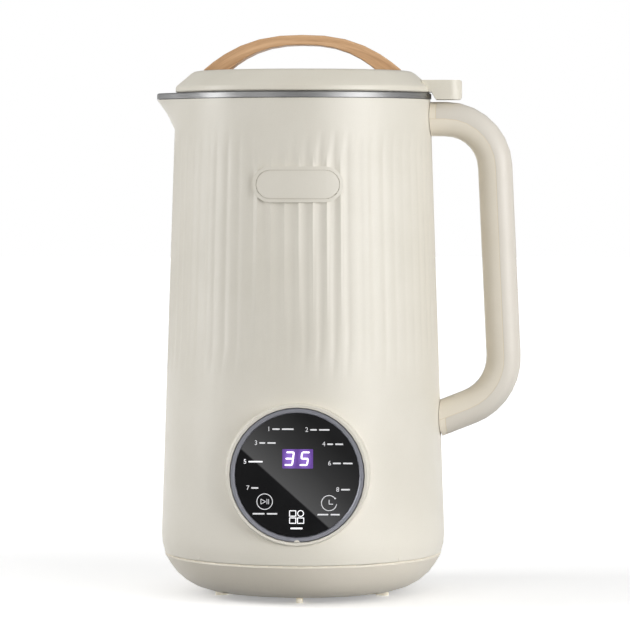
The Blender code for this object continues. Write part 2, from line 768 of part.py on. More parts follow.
def make_outer_shell():
    shell = place_piece(shell_solid(), "cream_plastic", BODY_AXIS)
    boolean(shell, shell_hollow())
    boolean(shell, panel_hole())
    boolean(shell, panel_boss(), "UNION")
    for post in shell_posts():
        boolean(shell, post, "UNION")
    for pillar in power_board_pillars():
        boolean(shell, pillar, "UNION")
    pocket = curved_pill(
        "badge_pocket",
        BADGE_PLUG_LENGTH + 2 * FIT_GAP,
        BADGE_PLUG_HEIGHT + 2 * FIT_GAP,
        -BADGE_POCKET_DEPTH,
        BADGE_HEIGHT / 2,
    )
    boolean(shell, place_cutter(pocket))
    boolean(shell, inlet_opening())
    hole_top = BASE_TOP_Z + BASE_SCREW_LENGTH - SCREW_HEAD_RADIUS
    for hole in base_screw_holes("shell_hole", SCREW_SHANK_RADIUS + FIT_GAP, SEAM_Z - CUT_OVERRUN, hole_top):
        boolean(shell, hole)


def make_badge():
    """A plate whose plug sits in the shell's pocket and whose rim lies over the pocket's edge."""
    badge = curved_pill("badge_plate", BADGE_LENGTH, BADGE_HEIGHT, FIT_GAP, BADGE_PROUD)
    place_piece(badge, "cream_plastic", BODY_AXIS)
    plug = curved_pill(
        "badge_plug",
        BADGE_PLUG_LENGTH,
        BADGE_PLUG_HEIGHT,
        FIT_GAP - BADGE_POCKET_DEPTH,
        (FIT_GAP + BADGE_PROUD) / 2,
    )
    boolean(badge, place_cutter(plug), "UNION")
    groove = badge_cutter("badge_groove", BADGE_BEAD, BADGE_PROUD - BADGE_SINK, BADGE_HEIGHT / 2)
    field = badge_cutter("badge_field", BADGE_BEAD + BADGE_GROOVE, 0, BADGE_HEIGHT)
    boolean(groove, field)
    boolean(badge, groove)


def badge_cutter(name, inset, inner_offset, outer_offset):
    """A pill inside the badge's outline, between two offsets from the shell's surface."""
    length = BADGE_LENGTH - 2 * inset
    height = BADGE_HEIGHT - 2 * inset
    return place_cutter(curved_pill(name, length, height, inner_offset, outer_offset))


def make_base_cover():
    edge_radius = foot_curve_radius(BASE_TOP_Z)
    outline = [(0, BASE_BOTTOM_Z + BASE_WALL)] + foot_curve(BASE_WALL)[::-1]
    outline += arc((edge_radius - BASE_EDGE, BASE_TOP_Z - BASE_EDGE), BASE_EDGE, math.pi / 2, 0, 3)
    outline += foot_curve(0)[1:] + [(0, BASE_BOTTOM_Z)]
    cover = place_piece(turned("base_cover", outline, BASE_STEPS), "base_plastic", BODY_AXIS)
    boss_bottom = BASE_BOTTOM_Z + BASE_WALL - FIT_GAP
    boss_middle = (boss_bottom + BASE_TOP_Z) / 2
    for index, angle in enumerate(base_screw_angles()):
        centre = (
            BASE_BOSS_CIRCLE_RADIUS * math.cos(angle),
            BASE_BOSS_CIRCLE_RADIUS * math.sin(angle),
            boss_middle,
        )
        boss = rod(f"base_boss_{index + 1}", BASE_BOSS_RADIUS, BASE_TOP_Z - boss_bottom, centre)
        boolean(cover, place_cutter(boss), "UNION")
    for hole in base_screw_holes("base_hole", SCREW_SHANK_RADIUS + FIT_GAP, 0, SEAM_Z + CUT_OVERRUN):
        boolean(cover, hole)
    head_room = SCREW_HEAD_RADIUS + FIT_GAP
    for hole in base_screw_holes("base_counterbore", head_room, 0, base_screw_seat_z()):
        boolean(cover, hole)
    boolean(cover, base_vents())


def base_screw_seat_z():
    return BASE_TOP_Z - BASE_SCREW_LENGTH / 2


def base_vents():
    """Radial air slots under the fan, joined as one cutter."""
    mesh_data = bmesh.new()
    for index in range(VENT_COUNT):
        turn = Matrix.Rotation(2 * math.pi * (index + 0.5) / VENT_COUNT, 4, "Z")
        slot = turn @ Matrix.Translation((VENT_CIRCLE_RADIUS, 0, BASE_BOTTOM_Z))
        stretch = Matrix.Diagonal((VENT_LENGTH, VENT_WIDTH, 4 * BASE_WALL, 1))
        bmesh.ops.create_cube(mesh_data, size=1, matrix=slot @ stretch)
    return place_cutter(object_from_bmesh("base_vents", mesh_data))


def make_feet():
    """Oblong pads round the flat underside, each pointing away from the axis."""
    step = 2 * math.pi / FOOT_COUNT
    for index in range(FOOT_COUNT):
        outline = rounded_box_outline(FOOT_LENGTH, FOOT_WIDTH, FOOT_WIDTH / 2 - FIT_GAP, FOOT_END_STEPS)
        foot = flat_shape(f"foot_{index + 1}", outline, FOOT_HEIGHT, 0)
        place_piece(foot, "soft_foot", BODY_AXIS)
        bevel = foot.modifiers.new("round_edges", "BEVEL")
        bevel.width = FOOT_ROUNDING
        bevel.segments = 2
        bevel.limit_method = "ANGLE"
        bevel.angle_limit = math.radians(50)
        angle = index * step - math.pi / 2
        foot.rotation_euler = (0, 0, angle)
        foot.location = (
            FOOT_CIRCLE_RADIUS * math.cos(angle),
            FOOT_CIRCLE_RADIUS * math.sin(angle),
            FOOT_HEIGHT / 2,
        )


def make_base_screws():
    for index, angle in enumerate(base_screw_angles()):
        screw = place_piece(screw_piece(f"base_screw_{index + 1}", BASE_SCREW_LENGTH), "steel", BODY_AXIS)
        screw.rotation_euler = (math.pi, 0, 0)
        screw.location = (
            BASE_BOSS_CIRCLE_RADIUS * math.cos(angle),
            BASE_BOSS_CIRCLE_RADIUS * math.sin(angle),
            base_screw_seat_z() - FIT_GAP,
        )


def jug_radius(height):
    """The steel wall's inner radius."""
    share = (height - JUG_FLOOR_Z) / (SHELL_TOP_Z - JUG_FLOOR_Z)
    return JUG_FLOOR_RADIUS + (JUG_TOP_RADIUS - JUG_FLOOR_RADIUS) * share


def jug_spout_reach(height):
    tip = SHELL_TOP_RADIUS + SPOUT_REACH - JUG_SPOUT_LIP
    return (tip - JUG_TOP_RADIUS) * spout_share(height)


def shaft_hole_radius():
    return SEAL_BODY_RADIUS + FIT_GAP


def make_inner_jug():
    """The steel vessel: inner side upwards, flange over the shell, outer side downwards."""
    corner = JUG_CORNER
    hole = shaft_hole_radius()
    rim = SHELL_TOP_RADIUS + FLANGE_OVERHANG
    rim_reach = SPOUT_REACH - FLANGE_OVERHANG
    rounding = FLANGE_ROUNDING
    rows = [(hole, JUG_FLOOR_Z, 0), (JUG_FLOOR_RADIUS - corner, JUG_FLOOR_Z, 0)]
    corner_start = JUG_FLOOR_Z + corner
    rows.append((JUG_FLOOR_RADIUS - corner * JUG_CORNER_SHARE, JUG_FLOOR_Z + corner * JUG_CORNER_SHARE, 0))
    rows.append((jug_radius(corner_start), corner_start, 0))
    for height in spout_rows() + [SHELL_TOP_Z]:
        rows.append((jug_radius(height), height, jug_spout_reach(height)))
    top_reach = jug_spout_reach(SHELL_TOP_Z)
    rows.append((JUG_TOP_RADIUS, FLANGE_TOP_Z - JUG_WALL, top_reach))
    rows.append((JUG_TOP_RADIUS + JUG_WALL, FLANGE_TOP_Z, top_reach))
    rows.append((rim - rounding, FLANGE_TOP_Z, rim_reach))
    rows.append((rim, FLANGE_TOP_Z - rounding, rim_reach))
    rows.append((rim, FLANGE_BOTTOM_Z, rim_reach))
    rows.append((JUG_TOP_RADIUS + JUG_WALL, FLANGE_BOTTOM_Z, top_reach))
    for height in spout_rows()[::-1]:
        rows.append((jug_radius(height) + JUG_WALL, height, jug_spout_reach(height)))
    rows.append((jug_radius(corner_start) + JUG_WALL, corner_start, 0))
    outer_corner = JUG_FLOOR_RADIUS - corner * JUG_CORNER_SHARE + JUG_WALL
    rows.append((outer_corner, JUG_FLOOR_Z + corner * JUG_CORNER_SHARE - JUG_WALL, 0))
    rows.append((JUG_FLOOR_RADIUS - corner, JUG_UNDERSIDE_Z, 0))
    rows.append((hole, JUG_UNDERSIDE_Z, 0))
    rings = [ring_of_points(radius, height, reach, JUG_STEPS) for radius, height, reach in rows]
    jug = place_piece(lofted("inner_jug", rings, closed=True), "steel", BODY_AXIS)
    centre = (SENSOR_X, 0, JUG_FLOOR_Z)
    hole_cutter = rod("sensor_hole", SENSOR_RADIUS + FIT_GAP, JUG_CORNER, centre)
    boolean(jug, place_cutter(hole_cutter))


def make_rim_seal():
    """A soft ring between the steel jug and the shell, just below the pouring lip."""
    top = SPOUT_START_Z - RIM_SEAL_DROP
    bottom = top - RIM_SEAL_HEIGHT
    outline = [
        (shell_radius(top) - SHELL_WALL - FIT_GAP, top),
        (shell_radius(bottom) - SHELL_WALL - FIT_GAP, bottom),
        (jug_radius(bottom) + JUG_WALL + FIT_GAP, bottom),
        (jug_radius(top) + JUG_WALL + FIT_GAP, top),
    ]
    place_piece(turned("rim_seal", outline), "white_silicone", BODY_AXIS)


def lid_tab():
    """The tongue at the back edge of the lid that covers the top of the side handle."""
    root_top = LID_TOP_RADIUS + (LID_SKIRT_RADIUS - LID_TOP_RADIUS) * TAB_ROOT_SHARE
    root_bottom = LID_SKIRT_RADIUS - LID_WALL
    top = TAB_TOP_Z
    bottom = TAB_BOTTOM_Z
    neck = SHELL_TOP_RADIUS + FIT_GAP + FIT_GAP
    corner = TAB_CORNER
    neck_z = LID_SKIRT_Z + FIT_GAP
    outline = [(root_top, top), (root_bottom, neck_z), (neck, neck_z)]
    outline.append((neck + TAB_NECK_CHAMFER, bottom))
    outline += arc((TAB_REACH - corner, bottom + corner), corner, -math.pi / 2, 0, 2)
    outline += arc((TAB_REACH - corner, top - corner), corner, 0, math.pi / 2, 2)
    piece = flat_shape("lid_tab", outline, TAB_WIDTH, 0)
    piece.rotation_euler = (math.pi / 2, 0, 0)
    plan = rounded_box_outline(2 * TAB_REACH, TAB_WIDTH, TAB_PLAN_CORNER, TAB_PLAN_STEPS)
    limit = place_cutter(flat_shape("lid_tab_plan", plan, 2 * LID_TOP_Z, 0))
    boolean(piece, limit, "INTERSECT")
    return place_cutter(piece)


def make_lid_cover():
    skirt_top = LID_SKIRT_Z + LID_SKIRT_HEIGHT
    edge = LID_EDGE_ROUNDING
    wall = LID_WALL
    crown = Vector((LID_TOP_RADIUS, LID_TOP_Z))
    brim = Vector((LID_SKIRT_RADIUS, skirt_top))
    slope = (brim - crown).normalized()
    crown_start = crown - Vector((LID_CROWN_ROUNDING, 0))
    crown_end = crown + slope * LID_CROWN_ROUNDING
    inner_skirt = LID_SKIRT_RADIUS - LID_INNER_STEP_SHARE * wall
    inner = [
        (0, LID_TOP_Z - wall),
        (LID_TOP_RADIUS - wall / 2, LID_TOP_Z - wall),
        (inner_skirt, skirt_top - wall / 2),
        (inner_skirt, LID_SKIRT_Z),
    ]
    outer = [
        (0, LID_TOP_Z),
        tuple(crown_start),
        tuple((crown_start + 2 * crown + crown_end) / 4),
        tuple(crown_end),
        tuple(brim - slope * edge),
        (LID_SKIRT_RADIUS, skirt_top - edge),
        (LID_SKIRT_RADIUS, LID_SKIRT_Z + edge),
        (LID_SKIRT_RADIUS - edge, LID_SKIRT_Z),
    ]
    cover = place_piece(turned("lid_cover", outer + inner[::-1], LID_STEPS), "lid_plastic", LID_LIFT)
    boolean(cover, lid_tab(), "UNION")
    boolean(cover, magnet_pocket())
    for side in (-1, 1):
        centre = (side * arch_screw_x(), 0, LID_TOP_Z)
        hole = rod("lid_hole", SCREW_SHANK_RADIUS + FIT_GAP, 4 * LID_WALL, centre)
        boolean(cover, place_cutter(hole))


def magnet_place():
    """The middle of the lid magnet, in the underside of the tab."""
    return (
        (SHELL_TOP_RADIUS + TAB_NECK_CHAMFER + TAB_REACH) / 2,
        0,
        TAB_BOTTOM_Z + FIT_GAP + LID_MAGNET_HEIGHT / 2,
    )


def magnet_pocket():
    radius = LID_MAGNET_RADIUS + FIT_GAP
    top = TAB_BOTTOM_Z + LID_MAGNET_HEIGHT + 2 * FIT_GAP
    bottom = TAB_BOTTOM_Z - CUT_OVERRUN
    x, y, _ = magnet_place()
    return place_cutter(rod("magnet_pocket", radius, top - bottom, (x, y, (top + bottom) / 2)))


def make_lid_magnet():
    magnet = rod("lid_magnet", LID_MAGNET_RADIUS, LID_MAGNET_HEIGHT, magnet_place())
    place_piece(magnet, "magnet", LID_LIFT)


def arch_screw_x():
    return ARCH_GAP_HALF_SPAN + ARCH_SCREW_INSET


def arch_point(half_span, rise, share):
    """A point on one edge of the arch; share runs from -1 at one foot to 1 at the other."""
    return (half_span * share, LID_TOP_Z + FIT_GAP + rise * (1 - abs(share) ** ARCH_CURVE))


def make_lid_handle():
    shares = [-math.cos(math.pi * index / ARCH_STEPS) for index in range(ARCH_STEPS + 1)]
    outer = [arch_point(ARCH_HALF_SPAN, ARCH_RISE - FIT_GAP, share) for share in shares]
    inner = [arch_point(ARCH_GAP_HALF_SPAN, ARCH_GAP_RISE, share) for share in shares]
    handle = flat_shape("lid_handle", outer + inner[::-1], ARCH_WIDTH, 0)
    handle.rotation_euler = (math.pi / 2, 0, 0)
    place_piece(handle, "wood_look", LID_LIFT)
    bevel = handle.modifiers.new("round_edges", "BEVEL")
    bevel.width = ARCH_ROUNDING
    bevel.segments = 2
    bevel.limit_method = "ANGLE"
    bevel.angle_limit = math.radians(50)
    hole_top = LID_TOP_Z - LID_WALL + LID_SCREW_LENGTH + ARCH_SCREW_ROOM
    hole_bottom = LID_TOP_Z - LID_WALL
    middle = (hole_top + hole_bottom) / 2
    for side in (-1, 1):
        centre = (side * arch_screw_x(), 0, middle)
        hole = rod("arch_hole", SCREW_SHANK_RADIUS + FIT_GAP, hole_top - hole_bottom, centre)
        boolean(handle, place_cutter(hole))


def make_lid_screws():
    for label, side in (("left", -1), ("right", 1)):
        screw = place_piece(screw_piece(f"lid_screw_{label}", LID_SCREW_LENGTH), "steel", LID_LIFT)
        screw.rotation_euler = (math.pi, 0, 0)
        screw.location = (side * arch_screw_x(), 0, LID_TOP_Z - LID_WALL - FIT_GAP)


def make_lid_inner():
    """The inner plate of the lid: a shallow cup that reaches into the jug, with a groove."""
    radius = LID_PLUG_RADIUS
    bottom = FLANGE_TOP_Z - LID_PLUG_DEPTH
    wall = LID_PLUG_WALL
    groove_top = bottom + GASKET_SEAT_DEPTH + GASKET_THICKNESS
    groove_bottom = bottom + GASKET_SEAT_DEPTH
    groove = radius - wall / 2
    top_radius = LID_SKIRT_RADIUS - LID_INNER_STEP_SHARE * LID_WALL - FIT_GAP
    top = LID_SKIRT_Z + LID_SKIRT_HEIGHT - LID_WALL
    outline = [
        (0, bottom + wall),
        (radius - wall, bottom + wall),
        (radius - wall, LID_SKIRT_Z + wall),
        (top_radius - wall, top),
        (top_radius, top),
        (top_radius, LID_SKIRT_Z),
        (radius, LID_SKIRT_Z),
        (radius, groove_top),
        (groove, groove_top),
        (groove, groove_bottom),
        (radius, groove_bottom),
        (radius, bottom),
        (0, bottom),
    ]
    place_piece(turned("lid_inner", outline, HIDDEN_STEPS), "white_silicone", LID_LIFT)


def make_lid_gasket():
    bottom = FLANGE_TOP_Z - LID_PLUG_DEPTH + GASKET_SEAT_DEPTH + FIT_GAP
    top = bottom + GASKET_THICKNESS - 2 * FIT_GAP
    inner = LID_PLUG_RADIUS - LID_PLUG_WALL / 2 + FIT_GAP
    wall_radius = jug_radius(bottom) - FIT_GAP
    outline = [
        (wall_radius - GASKET_LIP, top),
        (wall_radius, (top + bottom) / 2),
        (wall_radius - GASKET_LIP, bottom),
        (inner, bottom),
        (inner, top),
    ]
    place_piece(turned("lid_gasket", outline, HIDDEN_STEPS), "white_silicone", LID_LIFT)


def swept(name, path, section):
    """A closed section carried along a path in the X-Z plane, its ends filled, made a mesh."""
    profile = bpy.data.curves.new(name + "_section", "CURVE")
    profile.dimensions = "2D"
    profile_spline = profile.splines.new("POLY")
    profile_spline.points.add(len(section) - 1)
    for point, (x, y) in zip(profile_spline.points, section):
        point.co = (x, y, 0, 1)
    profile_spline.use_cyclic_u = True
    profile_carrier = bpy.data.objects.new(name + "_section", profile)
    bpy.context.scene.collection.objects.link(profile_carrier)
    curve = bpy.data.curves.new(name, "CURVE")
    curve.dimensions = "2D"
    curve.fill_mode = "NONE"
    spline = curve.splines.new("POLY")
    spline.points.add(len(path) - 1)
    for point, (x, z) in zip(spline.points, path):
        point.co = (x, z, 0, 1)
    curve.bevel_mode = "OBJECT"
    curve.bevel_object = profile_carrier
    curve.use_fill_caps = True
    piece = curve_to_mesh(name, curve)
    bpy.data.objects.remove(profile_carrier, do_unlink=True)
    piece.rotation_euler = (math.pi / 2, 0, 0)
    return piece


def line_crossing(first, first_direction, second, second_direction):
    """Where two lines in a plane meet."""
    cross = first_direction.x * second_direction.y - first_direction.y * second_direction.x
    offset = second - first
    along = (offset.x * second_direction.y - offset.y * second_direction.x) / cross
    return first + first_direction * along


def rounded_corner(before, corner, after, radius, steps):
    """Arc points that round a corner between two straight runs."""
    to_before = (before - corner).normalized()
    to_after = (after - corner).normalized()
    half_angle = to_before.angle(to_after) / 2
    tangent = radius / math.tan(half_angle)
    centre = corner + (to_before + to_after).normalized() * (radius / math.sin(half_angle))
    start = corner + to_before * tangent - centre
    end = corner + to_after * tangent - centre
    turn = start.angle_signed(end)
    points = []
    for index in range(steps + 1):
        angle = -turn * index / steps
        spoke = Matrix.Rotation(angle, 2) @ start
        points.append(tuple(centre + spoke))
    return points


def grip_lines():
    """The grip's middle line: its four corners, as points in X and Z."""
    top_z = GRIP_TOP_Z - GRIP_THICKNESS / 2
    down = Vector((math.sin(GRIP_LEAN), -math.cos(GRIP_LEAN)))
    foot = Vector((-math.cos(GRIP_FOOT_SLOPE), -math.sin(GRIP_FOOT_SLOPE)))
    widest = Vector((GRIP_REACH - GRIP_THICKNESS / 2, GRIP_WIDEST_Z))
    start = Vector((shell_radius(top_z) - SHELL_WALL, top_z))
    end = Vector((shell_radius(GRIP_FOOT_Z), GRIP_FOOT_Z)) + foot * SHELL_WALL
    top_corner = line_crossing(start, Vector((1, 0)), widest, down)
    foot_corner = line_crossing(widest, down, end, foot)
    return start, top_corner, foot_corner, end


def grip_path():
    start, top_corner, foot_corner, end = grip_lines()
    path = [tuple(start)]
    path += rounded_corner(start, top_corner, foot_corner, GRIP_TOP_BEND, GRIP_BEND_STEPS)
    path += rounded_corner(top_corner, foot_corner, end, GRIP_FOOT_BEND, GRIP_BEND_STEPS)
    path.append(tuple(end))
    return path


def half_grip_section(side):
    """A channel, half of the grip's section; side is 1 towards the jug and -1 away from it."""
    half = GRIP_WIDTH / 2
    deep = GRIP_THICKNESS / 2
    wall = GRIP_WALL
    seam = FIT_GAP / 2
    corner = GRIP_CORNER
    inner_corner = corner - wall
    steps = GRIP_CORNER_STEPS
    outer = [(seam, half)]
    outer += arc((deep - corner, half - corner), corner, math.pi / 2, 0, steps)
    outer += arc((deep - corner, corner - half), corner, 0, -math.pi / 2, steps)
    outer.append((seam, -half))
    inner = [(seam, wall - half)]
    inner += arc((deep - corner, corner - half), inner_corner, -math.pi / 2, 0, steps)
    inner += arc((deep - corner, half - corner), inner_corner, 0, math.pi / 2, steps)
    inner.append((seam, half - wall))
    return [(side * x, y) for x, y in outer + inner]


def grip_stub(name, start, towards):
    """The short full section at one end of the grip, between the shell and the cover."""
    size = (GRIP_THICKNESS - 2 * STUB_INSET, GRIP_WIDTH - 2 * STUB_INSET)
    section = rounded_box_outline(*size, GRIP_CORNER, GRIP_CORNER_STEPS)
    direction = (towards - start).normalized()
    end = start + direction * (SHELL_WALL + 2 * GRIP_COVER_SETBACK)
    stub = place_cutter(swept(name, [tuple(start), tuple(end)], section))
    boolean(stub, shell_envelope(name + "_limit", GRIP_COVER_SETBACK - FIT_GAP), "INTERSECT")
    return stub


def shell_envelope(name, offset):
    """The plain tapered outside of the jug, grown by an offset, for cutting what meets it."""
    outline = [
        (0, SHELL_TOP_Z + GRIP_THICKNESS),
        (shell_radius(SHELL_TOP_Z + GRIP_THICKNESS) + offset, SHELL_TOP_Z + GRIP_THICKNESS),
        (shell_radius(SEAM_Z) + offset, SEAM_Z),
        (0, SEAM_Z),
    ]
    return place_cutter(turned(name, outline, FLUTE_COUNT * 2))


def grip_screw_frame():
    """Where the grip screw sits: its middle on the grip's line and its outward direction."""
    _, _, foot_corner, end = grip_lines()
    middle = end.lerp(foot_corner, GRIP_SCREW_SHARE)
    outward = (math.sin(GRIP_FOOT_SLOPE), -math.cos(GRIP_FOOT_SLOPE))
    return middle, outward


def on_grip_screw(piece, near, far):
    """Turns a rod of unit length to the grip screw's line, between two depths outward."""
    middle, outward = grip_screw_frame()
    depth = (near + far) / 2
    piece.location = (middle.x + outward[0] * depth, 0, middle.y + outward[1] * depth)
    piece.rotation_euler = (0, math.pi - GRIP_FOOT_SLOPE, 0)
    return piece


def grip_screw_rod(name, radius, near, far):
    return on_grip_screw(place_cutter(rod(name, radius, far - near, (0, 0, 0))), near, far)


def make_handle():
    path = grip_path()
    deep = GRIP_THICKNESS / 2
    head_seat = deep - SCREW_HEAD_HEIGHT - 2 * FIT_GAP
    boss_radius = SCREW_HEAD_RADIUS + GRIP_WALL / 2
    hole_radius = SCREW_SHANK_RADIUS + FIT_GAP

    frame = place_piece(swept("handle_frame", path, half_grip_section(1)), "cream_plastic", BODY_AXIS)
    start, top_corner, foot_corner, end = grip_lines()
    boolean(frame, grip_stub("stub_top", start, top_corner), "UNION", "MANIFOLD")
    boolean(frame, grip_stub("stub_foot", end, foot_corner), "UNION", "MANIFOLD")
    boolean(frame, shell_envelope("shell_outside", FIT_GAP))
    boolean(frame, grip_screw_rod("frame_boss", boss_radius, -deep + GRIP_WALL / 2, -FIT_GAP), "UNION")
    boolean(frame, grip_screw_rod("frame_hole", hole_radius, -GRIP_SCREW_LENGTH, CUT_OVERRUN))

    cover = place_piece(swept("handle_cover", path, half_grip_section(-1)), "cream_plastic", BODY_AXIS)
    boolean(cover, shell_envelope("cover_limit", GRIP_COVER_SETBACK))
    boolean(cover, grip_screw_rod("cover_boss", boss_radius, 0, deep - GRIP_WALL / 2), "UNION")
    boolean(cover, grip_screw_rod("cover_hole", hole_radius, -CUT_OVERRUN, deep + CUT_OVERRUN))
    head_room = SCREW_HEAD_RADIUS + FIT_GAP
    boolean(cover, grip_screw_rod("cover_counterbore", head_room, head_seat, deep + CUT_OVERRUN))

    screw = place_piece(screw_piece("handle_screw", GRIP_SCREW_LENGTH), "steel", BODY_AXIS)
    on_grip_screw(screw, head_seat + FIT_GAP, head_seat + FIT_GAP)


def make_reed_switch():
    """The lid switch, in the hollow top run of the handle, under the lid magnet."""
    x = magnet_place()[0]
    z = GRIP_TOP_Z - GRIP_WALL - REED_SWITCH_RADIUS - FIT_GAP
    switch = rod("reed_switch", REED_SWITCH_RADIUS, REED_SWITCH_LENGTH, (x, 0, z))
    switch.rotation_euler = (math.pi / 2, 0, 0)
    place_piece(switch, "black_plastic", BODY_AXIS)


def make_panel():
    bezel_front = -BEZEL_SETBACK
    bezel_back = bezel_front - BEZEL_DEPTH
    lens_front = bezel_front - LENS_SETBACK
    lens_back = lens_front - LENS_THICKNESS
    seat = lens_back - FIT_GAP
    lens_room = LENS_RADIUS + FIT_GAP
    edge = PANEL_BOSS_LIP / 2
    bezel_outline = [
        (BEZEL_RADIUS - edge, bezel_front),
        (BEZEL_RADIUS, bezel_front - edge),
        (BEZEL_RADIUS, bezel_back),
        (lens_room - BEZEL_LEDGE, bezel_back),
        (lens_room - BEZEL_LEDGE, seat),
        (lens_room, seat),
        (lens_room, bezel_front - edge),
        (lens_room + edge, bezel_front),
    ]
    place_piece(face_front(turned("panel_bezel", bezel_outline)), "grey_bezel", BODY_AXIS)
    lens = turned("panel_lens", drum(LENS_RADIUS, lens_front, lens_back))
    place_piece(face_front(lens), "black_lens", BODY_AXIS)

    display_size = (DISPLAY_WIDTH, DISPLAY_HEIGHT, DISPLAY_DEPTH)
    display = block("display_module", display_size, (0, 0, 0))
    display_back = lens_back - FIT_GAP - DISPLAY_DEPTH
    face_front(display, DISPLAY_DEPTH / 2 - display_back - DISPLAY_DEPTH)
    display.location.z += DISPLAY_RAISE
    place_piece(display, "display", BODY_AXIS)

    board_front = display_back - FIT_GAP
    board_back = board_front - BOARD_THICKNESS
    board = turned("control_board", drum(BOARD_RADIUS, board_front, board_back))
    place_piece(face_front(board), "green_board", BODY_AXIS)
    make_key_springs(lens_back - FIT_GAP, board_front + FIT_GAP)


def make_key_springs(front, back):
    """Contact springs between the board and the lens, one behind each touch key."""
    length = front - back - 2 * KEY_SPRING_WIRE
    for name, (x, z) in KEY_PLACES.items():
        curve = bpy.data.curves.new(name, "CURVE")
        curve.dimensions = "3D"
        curve.bevel_depth = KEY_SPRING_WIRE
        curve.bevel_resolution = 0
        curve.use_fill_caps = True
        steps = KEY_SPRING_COILS * 7
        spline = curve.splines.new("POLY")
        spline.points.add(steps)
        for index, point in enumerate(spline.points):
            angle = 2 * math.pi * KEY_SPRING_COILS * index / steps
            point.co = (
                KEY_SPRING_RADIUS * math.cos(angle),
                KEY_SPRING_RADIUS * math.sin(angle),
                length * (index / steps - 0.5),
                1,
            )
        spring = face_front(curve_to_mesh(name, curve), -(front + back) / 2)
        spring.location.x += x
        spring.location.z += z
        place_piece(spring, "brass", BODY_AXIS)


def make_inlet():
    front = inlet_front_y()
    flange_front = inlet_back_y()
    body_size = (INLET_WIDTH, INLET_DEPTH, INLET_HEIGHT)
    socket = block("inlet_socket", body_size, (0, front - INLET_DEPTH / 2, INLET_Z), INLET_CORNER)
    place_piece(socket, "black_plastic", BODY_AXIS)
    flange_size = (
        INLET_WIDTH + 2 * INLET_FLANGE,
        INLET_FLANGE_THICKNESS,
        INLET_HEIGHT + 2 * INLET_FLANGE,
    )
    flange = block("inlet_flange", flange_size, (0, flange_front - INLET_FLANGE_THICKNESS / 2, INLET_Z))
    boolean(socket, place_cutter(flange), "UNION")
    recess_size = (
        INLET_WIDTH - 2 * INLET_WALL,
        2 * INLET_RECESS,
        INLET_HEIGHT - 2 * INLET_WALL,
    )
    recess = block("inlet_recess", recess_size, (0, front, INLET_Z), INLET_CORNER / 2)
    boolean(socket, place_cutter(recess))
    floor = front - INLET_RECESS
    back = front - INLET_DEPTH - PIN_TAIL
    tip = floor + PIN_REACH
    pins = {
        "inlet_pin_live": (-PIN_SPACING, -PIN_THICKNESS),
        "inlet_pin_earth": (0, PIN_THICKNESS),
        "inlet_pin_neutral": (PIN_SPACING, -PIN_THICKNESS),
    }
    for name, (x, rise) in pins.items():
        centre = (x, (tip + back) / 2, INLET_Z + rise)
        size = (PIN_THICKNESS, tip - back, PIN_WIDTH)
        place_piece(block(name, size, centre), "brass", BODY_AXIS)
        room = tuple(length + 2 * FIT_GAP for length in size)
        boolean(socket, place_cutter(block(name + "_slot", room, centre)))


def power_board_x():
    """The board stands beside the motor, on pillars from the shell's wall on the spout side."""
    inside = shell_radius(POWER_BOARD_BOTTOM_Z) - SHELL_WALL
    reach = math.sqrt(inside ** 2 - (POWER_BOARD_WIDTH / 2) ** 2)
    return -(reach - POWER_BOARD_PILLAR)


def make_power_board():
    x = power_board_x()
    middle_z = POWER_BOARD_BOTTOM_Z + POWER_BOARD_HEIGHT / 2
    size = (POWER_BOARD_THICKNESS, POWER_BOARD_WIDTH, POWER_BOARD_HEIGHT)
    place_piece(block("power_board", size, (x, 0, middle_z)), "green_board", BODY_AXIS)
    offset = POWER_BOARD_THICKNESS / 2 + FIT_GAP + TRANSFORMER_SIZE[0] / 2
    transformer = block("board_transformer", TRANSFORMER_SIZE, (x + offset, 0, middle_z), FIT_GAP)
    place_piece(transformer, "black_plastic", BODY_AXIS)


def power_board_pillars():
    """Pillars moulded inside the shell that the power board is fixed to."""
    x = power_board_x() - POWER_BOARD_THICKNESS / 2 - FIT_GAP
    pillars = []
    radius = POWER_BOARD_PILLAR_RADIUS
    inset = POWER_BOARD_WIDTH / 2 - 2 * radius
    rises = (2 * radius, POWER_BOARD_HEIGHT - 2 * radius)
    for row, rise in enumerate(rises):
        for column, y in enumerate((-inset, inset)):
            height = POWER_BOARD_BOTTOM_Z + rise
            wall = -math.sqrt((shell_radius(height) - SHELL_WALL / 2) ** 2 - y ** 2)
            name = f"board_pillar_{row + 1}_{column + 1}"
            pillar = rod(name, radius, x - wall, ((x + wall) / 2, y, height), 8)
            pillar.rotation_euler = (0, math.pi / 2, 0)
            pillars.append(place_cutter(pillar))
    return pillars


